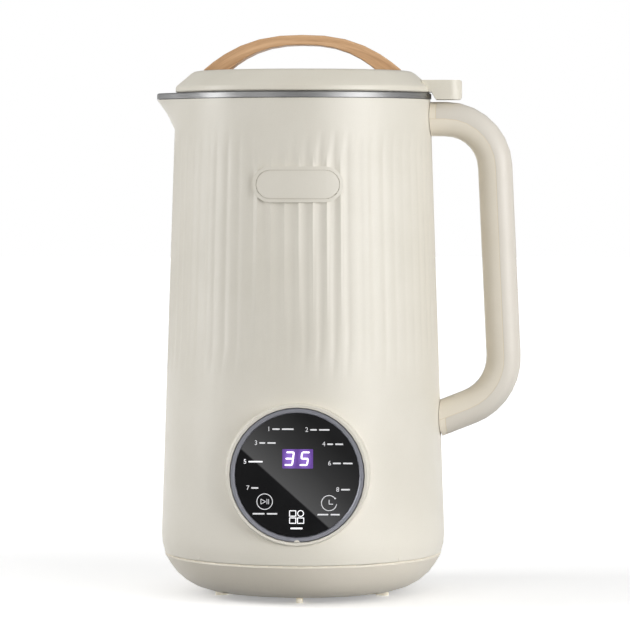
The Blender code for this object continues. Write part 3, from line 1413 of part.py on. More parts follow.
def make_heater():
    top = JUG_UNDERSIDE_Z - FIT_GAP
    bottom = top - HEATER_PLATE_THICKNESS
    hole = shaft_hole_radius() + HEATER_PLATE_THICKNESS
    plate = turned("heater_plate", drum(HEATER_PLATE_RADIUS, top, bottom, hole), HIDDEN_STEPS)
    place_piece(plate, "aluminium", BODY_AXIS)
    middle = (top + bottom) / 2
    room = SENSOR_FLANGE_RADIUS + FIT_GAP
    hole_length = 4 * HEATER_PLATE_THICKNESS
    boolean(plate, place_cutter(rod("plate_sensor_hole", room, hole_length, (SENSOR_X, 0, middle))))

    path = []
    steps = 24
    start = -math.pi / 2 + HEATER_OPEN_ANGLE / 2
    sweep = 2 * math.pi - HEATER_OPEN_ANGLE
    tube_z = bottom - FIT_GAP - HEATER_TUBE_RADIUS
    for index in range(steps + 1):
        angle = start + sweep * index / steps
        path.append((HEATER_LOOP_RADIUS * math.cos(angle), HEATER_LOOP_RADIUS * math.sin(angle), tube_z))
    curve = bpy.data.curves.new("heating_element", "CURVE")
    curve.dimensions = "3D"
    curve.bevel_depth = HEATER_TUBE_RADIUS
    curve.bevel_resolution = 1
    curve.use_fill_caps = True
    spline = curve.splines.new("POLY")
    spline.points.add(len(path) - 1)
    for point, (x, y, z) in zip(spline.points, path):
        point.co = (x, y, z, 1)
    place_piece(curve_to_mesh("heating_element", curve), "steel", BODY_AXIS)

    cutout_top = bottom - FIT_GAP
    cutout_outline = drum(CUTOUT_RADIUS, cutout_top, cutout_top - CUTOUT_HEIGHT)
    cutout = turned("thermal_cutout", cutout_outline, 2 * SMALL_STEPS)
    cutout.location = (0, CUTOUT_Y, 0)
    place_piece(cutout, "brass", BODY_AXIS)


def make_temperature_sensor():
    """A capped probe through the jug's floor, its flange seated on the underside."""
    seat = JUG_UNDERSIDE_Z - FIT_GAP
    tip = JUG_FLOOR_Z + SENSOR_TIP_RISE
    outline = [
        (0, tip),
        (SENSOR_RADIUS * 0.7, tip),
        (SENSOR_RADIUS, tip - SENSOR_RADIUS * 0.3),
        (SENSOR_RADIUS, seat),
        (SENSOR_FLANGE_RADIUS, seat),
        (SENSOR_FLANGE_RADIUS, seat - SENSOR_FLANGE_HEIGHT),
        (SENSOR_RADIUS, seat - SENSOR_FLANGE_HEIGHT),
        (SENSOR_RADIUS, tip - SENSOR_LENGTH),
        (0, tip - SENSOR_LENGTH),
    ]
    sensor = turned("temperature_sensor", outline, SMALL_STEPS)
    sensor.location = (SENSOR_X, 0, 0)
    place_piece(sensor, "steel", BODY_AXIS)


def shaft_bore():
    return SHAFT_RADIUS + RUNNING_GAP


def make_shaft_seal():
    seat = JUG_FLOOR_Z + FIT_GAP
    top = seat + SEAL_FLANGE_HEIGHT
    outline = [
        (SEAL_FLANGE_RADIUS - SEAL_FLANGE_HEIGHT / 2, top),
        (SEAL_FLANGE_RADIUS, seat),
        (SEAL_BODY_RADIUS, seat),
        (SEAL_BODY_RADIUS, top - SEAL_LENGTH),
        (shaft_bore(), top - SEAL_LENGTH),
        (shaft_bore(), top),
    ]
    place_piece(turned("shaft_seal", outline, 2 * SMALL_STEPS), "white_silicone", BODY_AXIS)


def make_motor_carrier():
    """The plate that hangs the motor under the jug, on four legs up to the jug's underside."""
    top = CARRIER_TOP_Z
    bottom = top - CARRIER_THICKNESS
    hole = SEAL_BODY_RADIUS + RUNNING_GAP
    carrier = turned("motor_carrier", drum(CARRIER_RADIUS, top, bottom, hole), HIDDEN_STEPS)
    place_piece(carrier, "steel", BODY_AXIS)
    leg_top = JUG_UNDERSIDE_Z - FIT_GAP
    circle = (HEATER_PLATE_RADIUS + JUG_FLOOR_RADIUS - JUG_CORNER + CARRIER_LEG_RADIUS) / 2
    for index in range(CARRIER_LEG_COUNT):
        angle = 2 * math.pi * (index + 0.5) / CARRIER_LEG_COUNT
        x = circle * math.cos(angle)
        y = circle * math.sin(angle)
        length = leg_top - bottom - CARRIER_THICKNESS / 2
        leg = rod(f"carrier_leg_{index + 1}", CARRIER_LEG_RADIUS, length, (x, y, leg_top - length / 2), 12)
        boolean(carrier, place_cutter(leg), "UNION")


def stator_top_z():
    return MOTOR_TOP_Z - UPPER_BRACKET_HEIGHT - FIT_GAP


def bracket_outline(outside, direction, height):
    """A cup-shaped end bracket with a bearing housing, seen from its closed end."""
    wall = BRACKET_WALL
    housing = BEARING_OUTER_RADIUS + FIT_GAP
    inside_end = outside - direction * (BEARING_HEIGHT + FIT_GAP)
    rim_end = outside - direction * height
    step = outside - direction * wall
    outline = [
        (MOTOR_RADIUS, outside),
        (MOTOR_RADIUS, rim_end),
        (MOTOR_RADIUS - wall, rim_end),
        (MOTOR_RADIUS - wall, step),
        (housing + wall, step),
        (housing + wall, inside_end),
        (housing, inside_end),
        (housing, outside),
    ]
    if direction < 0:
        outline = [outline[index] for index in (1, 0, 7, 6, 5, 4, 3, 2)]
    return outline


def motor_bottom_z():
    return stator_top_z() - STATOR_HEIGHT - FIT_GAP - LOWER_BRACKET_HEIGHT


def make_motor_shell():
    top = MOTOR_TOP_Z
    bottom = motor_bottom_z()
    upper = turned("motor_upper_bracket", bracket_outline(top, 1, UPPER_BRACKET_HEIGHT), HIDDEN_STEPS)
    place_piece(upper, "aluminium", BODY_AXIS)
    lower_outline = bracket_outline(bottom, -1, LOWER_BRACKET_HEIGHT)
    lower = turned("motor_lower_bracket", lower_outline, HIDDEN_STEPS)
    place_piece(lower, "aluminium", BODY_AXIS)
    bearing_gap = RUNNING_GAP / 2
    for name, start in (("upper_bearing", top), ("lower_bearing", bottom + BEARING_HEIGHT)):
        outline = drum(BEARING_OUTER_RADIUS, start, start - BEARING_HEIGHT, SHAFT_RADIUS + bearing_gap)
        place_piece(turned(name, outline, 2 * SMALL_STEPS), "steel", BODY_AXIS)


def make_stator():
    top = stator_top_z()
    bottom = top - STATOR_HEIGHT
    outer = MOTOR_RADIUS - BRACKET_WALL / 2
    inner = STATOR_BORE_RADIUS
    outline = [(outer, top), (outer, bottom), (outer - STATOR_WALL, bottom), (outer - STATOR_WALL, top)]
    stator = place_piece(turned("stator_core", outline, HIDDEN_STEPS), "iron", BODY_AXIS)
    pole_size = (POLE_WIDTH_SHARE * inner, 2 * outer, POLE_HEIGHT_SHARE * STATOR_HEIGHT)
    poles = place_cutter(block("stator_poles", pole_size, (0, 0, (top + bottom) / 2)))
    rim = place_cutter(turned("stator_round", drum(outer - FIT_GAP, top, bottom), HIDDEN_STEPS))
    boolean(poles, rim, "INTERSECT")
    boolean(stator, poles, "UNION")
    bore = rod("stator_bore", inner, 2 * STATOR_HEIGHT, (0, 0, (top + bottom) / 2), HIDDEN_STEPS)
    boolean(stator, place_cutter(bore))


def make_field_coils():
    """A winding on each pole, lying in the gap between the pole and the round yoke."""
    bottom = stator_top_z() + FIT_GAP
    top = bottom + COIL_HEIGHT
    middle = STATOR_BORE_RADIUS + COIL_THICKNESS / 2
    for label, heading in (("front", -math.pi / 2), ("rear", math.pi / 2)):
        start = heading - COIL_ANGLE / 2
        end = heading + COIL_ANGLE / 2
        outline = arc((0, 0), middle + COIL_THICKNESS / 2, start, end, 12)
        outline += arc((0, 0), middle - COIL_THICKNESS / 2, end, start, 12)
        coil = flat_shape(f"field_coil_{label}", outline, top - bottom)
        coil.location = (0, 0, (top + bottom) / 2)
        place_piece(coil, "copper", BODY_AXIS)


def commutator_ends():
    """The commutator fills the lower bracket from its bearing up to the armature."""
    bottom = motor_bottom_z() + BEARING_HEIGHT + 2 * RUNNING_GAP
    top = armature_bottom_z() - RUNNING_GAP
    return bottom, top


def armature_bottom_z():
    return stator_top_z() - (STATOR_HEIGHT + ARMATURE_HEIGHT) / 2


def make_brushes():
    """Two brush holders in the lower bracket, their tips just off the commutator."""
    bottom, top = commutator_ends()
    near = COMMUTATOR_RADIUS + RUNNING_GAP
    far = math.sqrt((MOTOR_RADIUS - BRACKET_WALL) ** 2 - (BRUSH_WIDTH / 2) ** 2) - FIT_GAP
    for label, side in (("left", -1), ("right", 1)):
        size = (far - near, BRUSH_WIDTH, BRUSH_HEIGHT)
        centre = (side * (near + far) / 2, 0, (bottom + top) / 2)
        holder = block(f"brush_holder_{label}", size, centre)
        place_piece(holder, "carbon", BODY_AXIS)


def shoulder_bottom_z():
    return JUG_FLOOR_Z + FIT_GAP + SEAL_FLANGE_HEIGHT + RUNNING_GAP


def lower_blade_z():
    """The underside of the lower blade, on the shaft's shoulder."""
    return shoulder_bottom_z() + SHAFT_SHOULDER_HEIGHT + FIT_GAP


def fan_top_z():
    return motor_bottom_z() - 2 * RUNNING_GAP


def on_shaft_bore():
    return SHAFT_RADIUS + FIT_GAP


def blade_nut_z():
    return lower_blade_z() + 2 * (BLADE_THICKNESS + FIT_GAP)


def make_shaft():
    shoulder = shoulder_bottom_z()
    tip = blade_nut_z() + BLADE_NUT_HEIGHT + SHAFT_TIP_LENGTH
    outline = [
        (0, tip),
        (SHAFT_RADIUS - SHAFT_TIP_LENGTH / 2, tip),
        (SHAFT_RADIUS, tip - SHAFT_TIP_LENGTH / 2),
        (SHAFT_RADIUS, shoulder + SHAFT_SHOULDER_HEIGHT),
        (SHAFT_SHOULDER_RADIUS, shoulder + SHAFT_SHOULDER_HEIGHT),
        (SHAFT_SHOULDER_RADIUS, shoulder),
        (SHAFT_RADIUS, shoulder),
        (SHAFT_RADIUS, fan_top_z() - FAN_HEIGHT - SHAFT_TIP_LENGTH),
        (0, fan_top_z() - FAN_HEIGHT - SHAFT_TIP_LENGTH),
    ]
    place_piece(turned("motor_shaft", outline, 2 * SMALL_STEPS), "steel", BLADE_SPIN)


def make_armature():
    bottom = armature_bottom_z()
    top = bottom + ARMATURE_HEIGHT
    bore = on_shaft_bore()
    armature = turned("armature", drum(ARMATURE_RADIUS, top, bottom, bore), ARMATURE_SLOTS * 4)
    place_piece(armature, "iron", BLADE_SPIN)
    mesh_data = bmesh.new()
    for index in range(ARMATURE_SLOTS):
        turn = Matrix.Rotation(2 * math.pi * index / ARMATURE_SLOTS, 4, "Z")
        slot = turn @ Matrix.Translation((ARMATURE_RADIUS, 0, (top + bottom) / 2))
        size = (2 * ARMATURE_SLOT_DEPTH, ARMATURE_SLOT_WIDTH, 2 * ARMATURE_HEIGHT, 1)
        bmesh.ops.create_cube(mesh_data, size=1, matrix=slot @ Matrix.Diagonal(size))
    boolean(armature, place_cutter(object_from_bmesh("armature_slots", mesh_data)))
    low, high = commutator_ends()
    commutator = turned("commutator", drum(COMMUTATOR_RADIUS, high, low, bore), 2 * SMALL_STEPS)
    place_piece(commutator, "copper", BLADE_SPIN)


def make_fan():
    """A flat disc fan on the lower end of the shaft, its vanes hanging below the disc."""
    top = fan_top_z()
    bottom = top - FAN_HEIGHT
    outline = [
        (FAN_RADIUS, top),
        (FAN_RADIUS, top - FAN_DISC),
        (FAN_HUB_RADIUS, top - FAN_DISC),
        (FAN_HUB_RADIUS, bottom),
        (on_shaft_bore(), bottom),
        (on_shaft_bore(), top),
    ]
    fan = place_piece(turned("cooling_fan", outline, HIDDEN_STEPS), "black_plastic", BLADE_SPIN)
    mesh_data = bmesh.new()
    middle = (FAN_RADIUS * 0.97 + FAN_HUB_RADIUS * 0.9) / 2
    length = FAN_RADIUS * 0.97 - FAN_HUB_RADIUS * 0.9
    height = FAN_HEIGHT - FAN_DISC / 2
    for index in range(FAN_BLADE_COUNT):
        turn = Matrix.Rotation(2 * math.pi * index / FAN_BLADE_COUNT, 4, "Z")
        vane = turn @ Matrix.Translation((middle, 0, top - FAN_DISC / 2 - height / 2 + FIT_GAP / 2))
        size = (length, FAN_BLADE_WIDTH, height - FIT_GAP, 1)
        bmesh.ops.create_cube(mesh_data, size=1, matrix=vane @ Matrix.Diagonal(size))
    boolean(fan, place_cutter(object_from_bmesh("fan_vanes", mesh_data)), "UNION")


def blade_outline():
    """A round hub with two arms that narrow to their tips, pointing along X."""
    hub = BLADE_HUB_RADIUS
    root = BLADE_ROOT_WIDTH / 2
    tip = BLADE_TIP_WIDTH / 2
    corner_angle = math.atan2(root, hub)
    arm = [(hub, -root), (BLADE_REACH - tip, -tip), (BLADE_REACH, 0), (BLADE_REACH - tip, tip), (hub, root)]
    side = arc((0, 0), math.hypot(hub, root), corner_angle, math.pi - corner_angle, 4)[1:-1]
    half = arm + side
    return half + [(-x, -y) for x, y in half]


def make_blade(name, underside, tilt, heading):
    """A blade cut from sheet, its arms bent up or down where they leave the hub."""
    blade = flat_shape(name, blade_outline(), BLADE_THICKNESS)
    mesh_data = bmesh.new()
    mesh_data.from_mesh(blade.data)
    for side in (-1, 1):
        geometry = mesh_data.verts[:] + mesh_data.edges[:] + mesh_data.faces[:]
        fold = (side * BLADE_HUB_RADIUS, 0, 0)
        bmesh.ops.bisect_plane(
            mesh_data, geom=geometry, dist=WELD_DISTANCE, plane_co=fold, plane_no=(1, 0, 0)
        )
    for vertex in mesh_data.verts:
        beyond = abs(vertex.co.x) - BLADE_HUB_RADIUS
        if beyond > 0:
            vertex.co.z += beyond * math.tan(tilt)
    mesh_data.to_mesh(blade.data)
    mesh_data.free()
    blade.location = (0, 0, underside + BLADE_THICKNESS / 2)
    blade.rotation_euler = (0, 0, heading)
    place_piece(blade, "steel", BLADE_SPIN)
    bore = rod(name + "_bore", on_shaft_bore(), 4 * BLADE_THICKNESS, blade.location)
    boolean(blade, place_cutter(bore))


def make_blades():
    low = lower_blade_z()
    make_blade("lower_blade", low, LOWER_BLADE_TILT, 0)
    make_blade("upper_blade", low + BLADE_THICKNESS + FIT_GAP, UPPER_BLADE_TILT, math.pi / 2)
    bottom = blade_nut_z()
    nut = rod("blade_nut", BLADE_NUT_RADIUS, BLADE_NUT_HEIGHT, (0, 0, bottom + BLADE_NUT_HEIGHT / 2), 6)
    place_piece(nut, "steel", BLADE_SPIN)
    bore = rod("nut_bore", on_shaft_bore(), 4 * BLADE_NUT_HEIGHT, nut.location)
    boolean(nut, place_cutter(bore))


def build_nut_milk_maker():
    make_outer_shell()
    make_badge()
    make_base_cover()
    make_feet()
    make_base_screws()
    make_inner_jug()
    make_rim_seal()
    make_handle()
    make_reed_switch()
    make_panel()
    make_inlet()
    make_power_board()
    make_heater()
    make_temperature_sensor()
    make_shaft_seal()
    make_motor_carrier()
    make_motor_shell()
    make_stator()
    make_field_coils()
    make_brushes()
    make_lid_cover()
    make_lid_inner()
    make_lid_gasket()
    make_lid_magnet()
    make_lid_handle()
    make_lid_screws()
    make_shaft()
    make_armature()
    make_fan()
    make_blades()


build_nut_milk_maker()
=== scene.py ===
"""Looks of the nut milk maker: materials, panel print, floor, light and camera.

Lengths are in metres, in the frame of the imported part: +Z up, the control panel faces -Y,
the pouring lip points along -X and the side handle along +X. Places on the panel are given
across and up from the middle of its lens.
"""

import math

import bmesh
import bpy
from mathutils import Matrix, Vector
from mathutils.bvhtree import BVHTree


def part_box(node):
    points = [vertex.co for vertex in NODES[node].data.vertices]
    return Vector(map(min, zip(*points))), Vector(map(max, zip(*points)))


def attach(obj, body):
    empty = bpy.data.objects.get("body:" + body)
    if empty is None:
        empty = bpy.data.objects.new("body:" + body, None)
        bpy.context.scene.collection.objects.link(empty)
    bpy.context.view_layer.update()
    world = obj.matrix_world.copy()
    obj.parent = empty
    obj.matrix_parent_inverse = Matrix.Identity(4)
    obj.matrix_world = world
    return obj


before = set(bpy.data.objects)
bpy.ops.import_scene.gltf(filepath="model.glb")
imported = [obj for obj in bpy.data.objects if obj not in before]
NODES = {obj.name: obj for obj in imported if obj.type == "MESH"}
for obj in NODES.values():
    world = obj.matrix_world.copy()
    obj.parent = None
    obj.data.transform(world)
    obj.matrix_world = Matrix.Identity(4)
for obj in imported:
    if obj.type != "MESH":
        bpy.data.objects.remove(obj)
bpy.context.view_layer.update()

# Places read from the frame
LENS_LOW, LENS_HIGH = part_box("panel_lens")
LENS_FRONT_Y = LENS_LOW.y
LENS_RADIUS = (LENS_HIGH.x - LENS_LOW.x) / 2
PANEL_CENTRE = Vector(((LENS_LOW.x + LENS_HIGH.x) / 2, LENS_FRONT_Y, (LENS_LOW.z + LENS_HIGH.z) / 2))
AXIS_X = PANEL_CENTRE.x
AXIS_Y = sum(corner.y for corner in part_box("motor_shaft")) / 2

# Camera, fitted to the photograph
EYE_DISTANCE = 1.684
EYE_HEIGHT = 0.21225
EYE_AZIMUTH = math.radians(2.12)
EYE_TILT = math.radians(2.547)
AIM_OFFSET = 0.0059
EYE_BACK = Vector((math.sin(EYE_AZIMUTH), -math.cos(EYE_AZIMUTH), 0))
EYE_SIDE = Vector((math.cos(EYE_AZIMUTH), math.sin(EYE_AZIMUTH), 0))
EYE = Vector((AXIS_X, AXIS_Y, EYE_HEIGHT)) + EYE_BACK * EYE_DISTANCE + EYE_SIDE * AIM_OFFSET
FOCAL_LENGTH = 195
SENSOR_WIDTH = 36
CLIP_START = 0.05
CLIP_END = 50

# Shading of the nodes
WELD_DISTANCE = 0.000002
SMOOTH_ANGLE = math.radians(32)
EVEN_NODES = ("lid_cover", "base_cover", "lid_handle", "panel_bezel")
SOFT_EDGE_NODE = "lid_handle"
SOFT_EDGE_WIDTH = 0.0006
SOFT_EDGE_STEPS = 3
SOFT_EDGE_ANGLE = math.radians(40)

# Patterns of the materials: the usual span of a noise, shares in a mix, and how patterns are drawn out
NOISE_LOW = 0.25
NOISE_MIDDLE = 0.5
NOISE_HIGH = 0.75
SPECK_SHARE = 0.35
FIBRE_SHARE = 0.55
BAND_SHARE = 0.5
STEEL_TURN = 0.004
RING_TURN = 0.002
WOOD_STRETCH = 0.06
ARCH_POWER = 2.5

# Strips in the gaps of handle and base
SEAM_THICKNESS = 0.00026
HANDLE_SEAM_ROOM = 0.00034
BASE_SEAM_ROOM = 0.0009

# Print on the lens
PRINT_THICKNESS = 0.00004
PRINT_LIFT = 0.00002
WINDOW_LAYER = 0.00003
CORNER_STEPS = 5
CAP_STEPS = 6
RING_STEPS = 48

# Line of painted shade in the badge's groove; its ends are nearly half circles
BADGE_LINE_INSET = 0.00162
BADGE_LINE_WIDTH = 0.00031
BADGE_LINE_STEP = 0.001
BADGE_LINE_ROUNDNESS = 0.999
RAY_START = 0.01

# Clock display
WINDOW_PLACE = (0.0003, 0.0078)
WINDOW_SIZE = (0.0146, 0.0092)
WINDOW_CORNER = 0.0004
DIGIT_PLACES = {"3": -0.0035, "5": 0.0036}
DIGIT_Z = 0.0079
DIGIT_HALF_WIDTH = 0.00158
DIGIT_HALF_HEIGHT = 0.00300
DIGIT_STROKE = 0.00082
DIGIT_CORNER = 0.0007
DIGIT_SLANT = 0.14
GLOW_GRAIN = 0.12
GLOW_REACH = 0.7

# Mark at the foot of the panel's ring
NOTCH_PLACE = (-0.0001, -0.0314)
NOTCH_SIZE = (0.0027, 0.0011)
NOTCH_STEPS = 8

# Symbols: start and pause in a ring, a clock, and three tiles with a ring
SYMBOL_LINE = 0.00036
START_PLACE = (-0.0154, -0.0126)
START_RADIUS = 0.0037
START_LINE = SYMBOL_LINE * 0.8
START_CORNER = 0.0002
START_CORNER_STEPS = 3
START_PATHS = (
    ((-0.0018, 0), (-0.0018, 0.0012), (0.0005, 0), (-0.0018, -0.0012), (-0.0018, 0)),
    ((0.0011, -0.0011), (0.0011, 0.0011)),
    ((0.0019, -0.0011), (0.0019, 0.0011)),
)
TIMER_PLACE = (0.0152, -0.0132)
TIMER_RADIUS = 0.0036
TIMER_START = math.radians(44)
TIMER_END = math.radians(352)
TIMER_DOT_ANGLE = math.radians(38)
TIMER_DOT_RADIUS = 0.0004
TIMER_DOT_STEPS = 12
TIMER_HANDS = ((0, 0.0014), (0, -0.0005), (0.0017, -0.0005))
TIMER_HAND_CORNER = 0.0001
TIMER_HAND_STEPS = 2
MENU_PLACE = (-0.0002, -0.0199)
MENU_SPREAD = (0.00188, 0.0017)
MENU_TILE_SIDES = ((-1, 1), (-1, -1), (1, -1))
MENU_TILE_SIZE = (0.0034, 0.0030)
MENU_TILE_CORNER = 0.0003
MENU_INNER_CORNER = MENU_TILE_CORNER / 3
MENU_LINE = 0.00044
MENU_RING_RADIUS = 0.0014
MENU_RING_STEPS = 24

# Labels of the eight programmes: place, and widths of the bars that stand for words
LABELS = (
    ((-0.0079, 0.0219), (0.0036, 0.0056)),
    ((0.0096, 0.0216), (0.0032, 0.0050)),
    ((-0.0152, 0.0153), (0.0028, 0.0040)),
    ((0.0169, 0.0148), (0.0028, 0.0038)),
    ((-0.0209, 0.0064), (0.0068,)),
    ((0.0205, 0.0057), (0.0038, 0.0046)),
    ((-0.0213, -0.0061), (0.0034,)),
    ((0.0218, -0.0068), (0.0042,)),
)
CHOSEN_NUMBER = 5
NUMBER_HEIGHT = 0.0031
NUMBER_ROOM = 0.0024
NUMBER_SHIFT = 0.0008
BAR_HEIGHT = 0.00072
BAR_GAP = 0.0010
BAR_CORNER_SHARE = 0.45
CAPTIONS = (
    ((-0.0153, -0.0184), (0.0058, 0.0050)),
    ((0.0150, -0.0187), (0.0052, 0.0044)),
)
MENU_CAPTION = ((-0.0003, -0.0253), (0.0058,))
MENU_BAR_HEIGHT = 0.0008

# Card that the lens mirrors: its distance, the slanting edge as seen on the lens, and its glow
CARD_DISTANCE = 0.25
CARD_MARGIN = 1.15
GLOSS_EDGE = ((-0.0270, 0.0124), (0.0150, -0.0253))
GLOSS_FADE = 0.055
GLOSS_LEVEL = 2.0
GLOSS_STOPS = ((0.0, 0.0), (0.012, 0.95), (0.3, 0.34), (0.6, 0.06), (1.0, 0.03))

# Floor and world
SQUARE = ((-1, -1), (1, -1), (1, 1), (-1, 1))
FLOOR_HALF = 6.0
FLOOR_DROP = 0.00002
FLOOR_SEEN = 1.1
FLOOR_BOUNCE = 0.25
# painted shade: the floor glows less near the jug, which darkens it round the jug's foot beside its real
# shadow
FLOOR_NEAR = 0.16
FLOOR_FAR = 0.7
FLOOR_GLOW_NEAR = 0.3
FLOOR_GLOW_FAR = 0.75
WORLD_LEVEL = 0.40
FRONT_DARK_START = math.radians(5)
FRONT_DARK_END = math.radians(20)
FRONT_DARK_LEVEL = 0.1

# Lamps
LAMP_AIM = (0, 0, 0.13)
LAMPS = {
    "right_softbox": {"place": (1.35, -0.85, 0.25), "size": (0.7, 1.2), "power": 17.0},
    "low_right_softbox": {"place": (1.00, -1.25, 0.20), "size": (0.6, 0.9), "power": 7.8},
    "left_softbox": {"place": (-1.55, -0.20, 0.45), "size": (0.6, 1.5), "power": 16.0},
    "front_left_softbox": {"place": (-0.9, -1.4, 0.6), "size": (0.6, 1.5), "power": 1.8},
    "foot_lamp": {"place": (0.62, -0.90, 0.035), "size": (0.5, 0.04), "power": 0.022,
                  "aim": (0.01, -0.06, -0.005), "spread": math.radians(8)},
}


def srgb(red, green, blue):
    """A colour written as the 0 to 255 values of a screen, made linear for a shader."""
    linear = []
    for value in (red, green, blue):
        share = value / 255
        if share <= 0.04045:
            linear.append(share / 12.92)
        else:
            linear.append(((share + 0.055) / 1.055) ** 2.4)
    return (*linear, 1)


class Graph:
    """A node tree being put together."""

    def __init__(self, tree):
        self.nodes = tree.nodes
        self.links = tree.links

    def feed(self, socket, value):
        """Sets an input to a plain value, or links it to another node's output."""
        if isinstance(value, bpy.types.NodeSocket):
            self.links.new(value, socket)
        else:
            socket.default_value = value

    def add(self, kind, inputs=None, **settings):
        """A new node with its settings and what goes into its inputs."""
        node = self.nodes.new(kind)
        for key, value in settings.items():
            setattr(node, key, value)
        for key, value in (inputs or {}).items():
            self.feed(node.inputs[key], value)
        return node

    def math(self, operation, *values):
        """Arithmetic with plain numbers or with other nodes' outputs."""
        return self.add("ShaderNodeMath", dict(enumerate(values)), operation=operation).outputs[0]

    def vector(self, operation, *values):
        """Vector arithmetic, with a number as the result of a dot product or a length."""
        node = self.add("ShaderNodeVectorMath", dict(enumerate(values)), operation=operation)
        return node.outputs["Value" if operation in ("DOT_PRODUCT", "LENGTH") else "Vector"]

    def length(self, across, up):
        """The length of a line that goes so far across and so far up."""
        squares = self.math("ADD", self.math("POWER", across, 2), self.math("POWER", up, 2))
        return self.math("SQRT", squares)

    def between(self, value, low, high, out_low=0.0, out_high=1.0, curve="LINEAR"):
        """Turns the span from low to high into the span from out_low to out_high."""
        node = self.add("ShaderNodeMapRange", {
            "Value": value, "From Min": low, "From Max": high, "To Min": out_low, "To Max": out_high,
        }, clamp=True, interpolation_type=curve)
        return node.outputs["Result"]

    def ramp(self, value, stops):
        """A colour ramp from its stops, each a position and a colour."""
        node = self.add("ShaderNodeValToRGB", {"Fac": value})
        elements = node.color_ramp.elements
        while len(elements) < len(stops):
            elements.new(0)
        for element, (position, colour) in zip(elements, stops):
            element.position = position
            element.color = colour
        return node.outputs["Color"]


class Recipe(Graph):
    """A node material being put together around one Principled shader."""

    def __init__(self, name):
        self.material = bpy.data.materials.new(name)
        self.material.use_nodes = True
        super().__init__(self.material.node_tree)
        self.shader = self.nodes["Principled BSDF"]
        self.place = self.add("ShaderNodeTexCoord").outputs["Object"]

    def set(self, **inputs):
        """Feeds the shader, with each input's name in lower case and underscores."""
        for key, value in inputs.items():
            name = key.replace("_", " ").title().replace("Ior", "IOR")
            self.feed(self.shader.inputs[name], value)

    def axes(self):
        """The place split into X, Y and Z."""
        return self.add("ShaderNodeSeparateXYZ", {0: self.place}).outputs

    def point(self, *values):
        """A place put together from values for X, Y and Z."""
        return self.add("ShaderNodeCombineXYZ", dict(enumerate(values))).outputs[0]

    def noise(self, scale, detail=2, place=None, roughness=0.5, distortion=0.0):
        """An even noise from 0 to 1."""
        node = self.add("ShaderNodeTexNoise", {
            "Vector": place or self.place, "Scale": scale, "Detail": detail,
            "Roughness": roughness, "Distortion": distortion,
        })
        return node.outputs["Fac"]

    def bands(self, scale, distortion):
        """Bands lying on each other, with edges that waver by the distortion."""
        node = self.add("ShaderNodeTexWave", {
            "Vector": self.place, "Scale": scale, "Distortion": distortion, "Detail": 2,
        }, wave_type="BANDS", bands_direction="Z")
        return node.outputs["Fac"]

    def tones(self, value, dark, light, low=0.3, high=0.7):
        """A colour that goes from dark to light while the value goes from low to high."""
        return self.ramp(value, ((low, dark), (high, light)))

    def roughness(self, value, low, high):
        """Roughness that goes from low to high with a noise."""
        self.set(roughness=self.between(value, NOISE_LOW, NOISE_HIGH, low, high))

    def bump(self, height, distance, strength, under=None):
        """Fine relief, on top of the relief given as under."""
        node = self.add("ShaderNodeBump", {"Height": height, "Distance": distance, "Strength": strength})
        if under:
            self.feed(node.inputs["Normal"], under)
        self.set(normal=node.outputs["Normal"])
        return node.outputs["Normal"]


def moulded_plastic(name, light, dark, gloss=(0.36, 0.48), grain=0.000012, glow=0.0):
    """Painted or moulded plastic: slight patches of colour, a fine grain and a satin gloss."""
    recipe = Recipe(name)
    patches = recipe.noise(scale=28, detail=4)
    specks = recipe.noise(scale=1900, detail=1)
    mixed = recipe.math("MULTIPLY_ADD", specks, SPECK_SHARE, patches)
    recipe.set(base_color=recipe.tones(mixed, dark, light, low=0.42, high=0.86))
    recipe.roughness(recipe.noise(scale=160, detail=3), *gloss)
    broad = recipe.bump(recipe.noise(scale=240), distance=0.00003, strength=0.25)
    recipe.bump(recipe.noise(scale=2600), distance=grain, strength=0.5, under=broad)
    # glow is painted light: a faint emission, given to the seam strips to lighten the shade in the gaps
    recipe.set(specular_ior_level=0.5, emission_color=light, emission_strength=glow)
    return recipe.material


def rubber(name, light, dark, glow):
    """Dull rubber with a fine grain, and a faint painted glow that lightens it where it sits in shade."""
    recipe = Recipe(name)
    recipe.set(base_color=recipe.tones(recipe.noise(scale=700, detail=3), dark, light, low=0.35, high=0.65))
    recipe.roughness(recipe.noise(scale=900), low=0.62, high=0.8)
    recipe.bump(recipe.noise(scale=3200), distance=0.00003, strength=0.6)
    # painted light: the emission lifts the rubber out of the shade it sits in
    recipe.set(emission_color=light, emission_strength=glow)
    return recipe.material


def turned_metal(name, light, dark, gloss):
    """Metal with fine brush lines round the jug's axis, which draw its highlights out upright."""
    recipe = Recipe(name)
    axes = recipe.axes()
    across = recipe.math("SUBTRACT", axes["X"], AXIS_X)
    along = recipe.math("SUBTRACT", axes["Y"], AXIS_Y)
    turn = recipe.math("MULTIPLY", recipe.math("ARCTAN2", along, across), STEEL_TURN)
    unrolled = recipe.point(turn, axes["Z"])
    brushed = recipe.noise(scale=1600, detail=4, place=unrolled, roughness=0.7)
    recipe.set(base_color=recipe.tones(brushed, dark, light))
    recipe.roughness(brushed, *gloss)
    recipe.bump(brushed, distance=0.00002, strength=0.35)
    round_axis = recipe.add("ShaderNodeTangent", direction_type="RADIAL", axis="Z").outputs["Tangent"]
    recipe.set(tangent=round_axis, metallic=1.0, anisotropic=0.7, anisotropic_rotation=0.25)
    return recipe.material


def plain_metal(name, light, dark, gloss):
    """Cast, drawn or pressed metal with a mottled surface."""
    recipe = Recipe(name)
    mottle = recipe.noise(scale=900, detail=4, roughness=0.6)
    recipe.set(base_color=recipe.tones(mottle, dark, light))
    recipe.roughness(recipe.noise(scale=300, detail=3), *gloss)
    recipe.bump(mottle, distance=0.00003, strength=0.4)
    recipe.set(metallic=1.0)
    return recipe.material


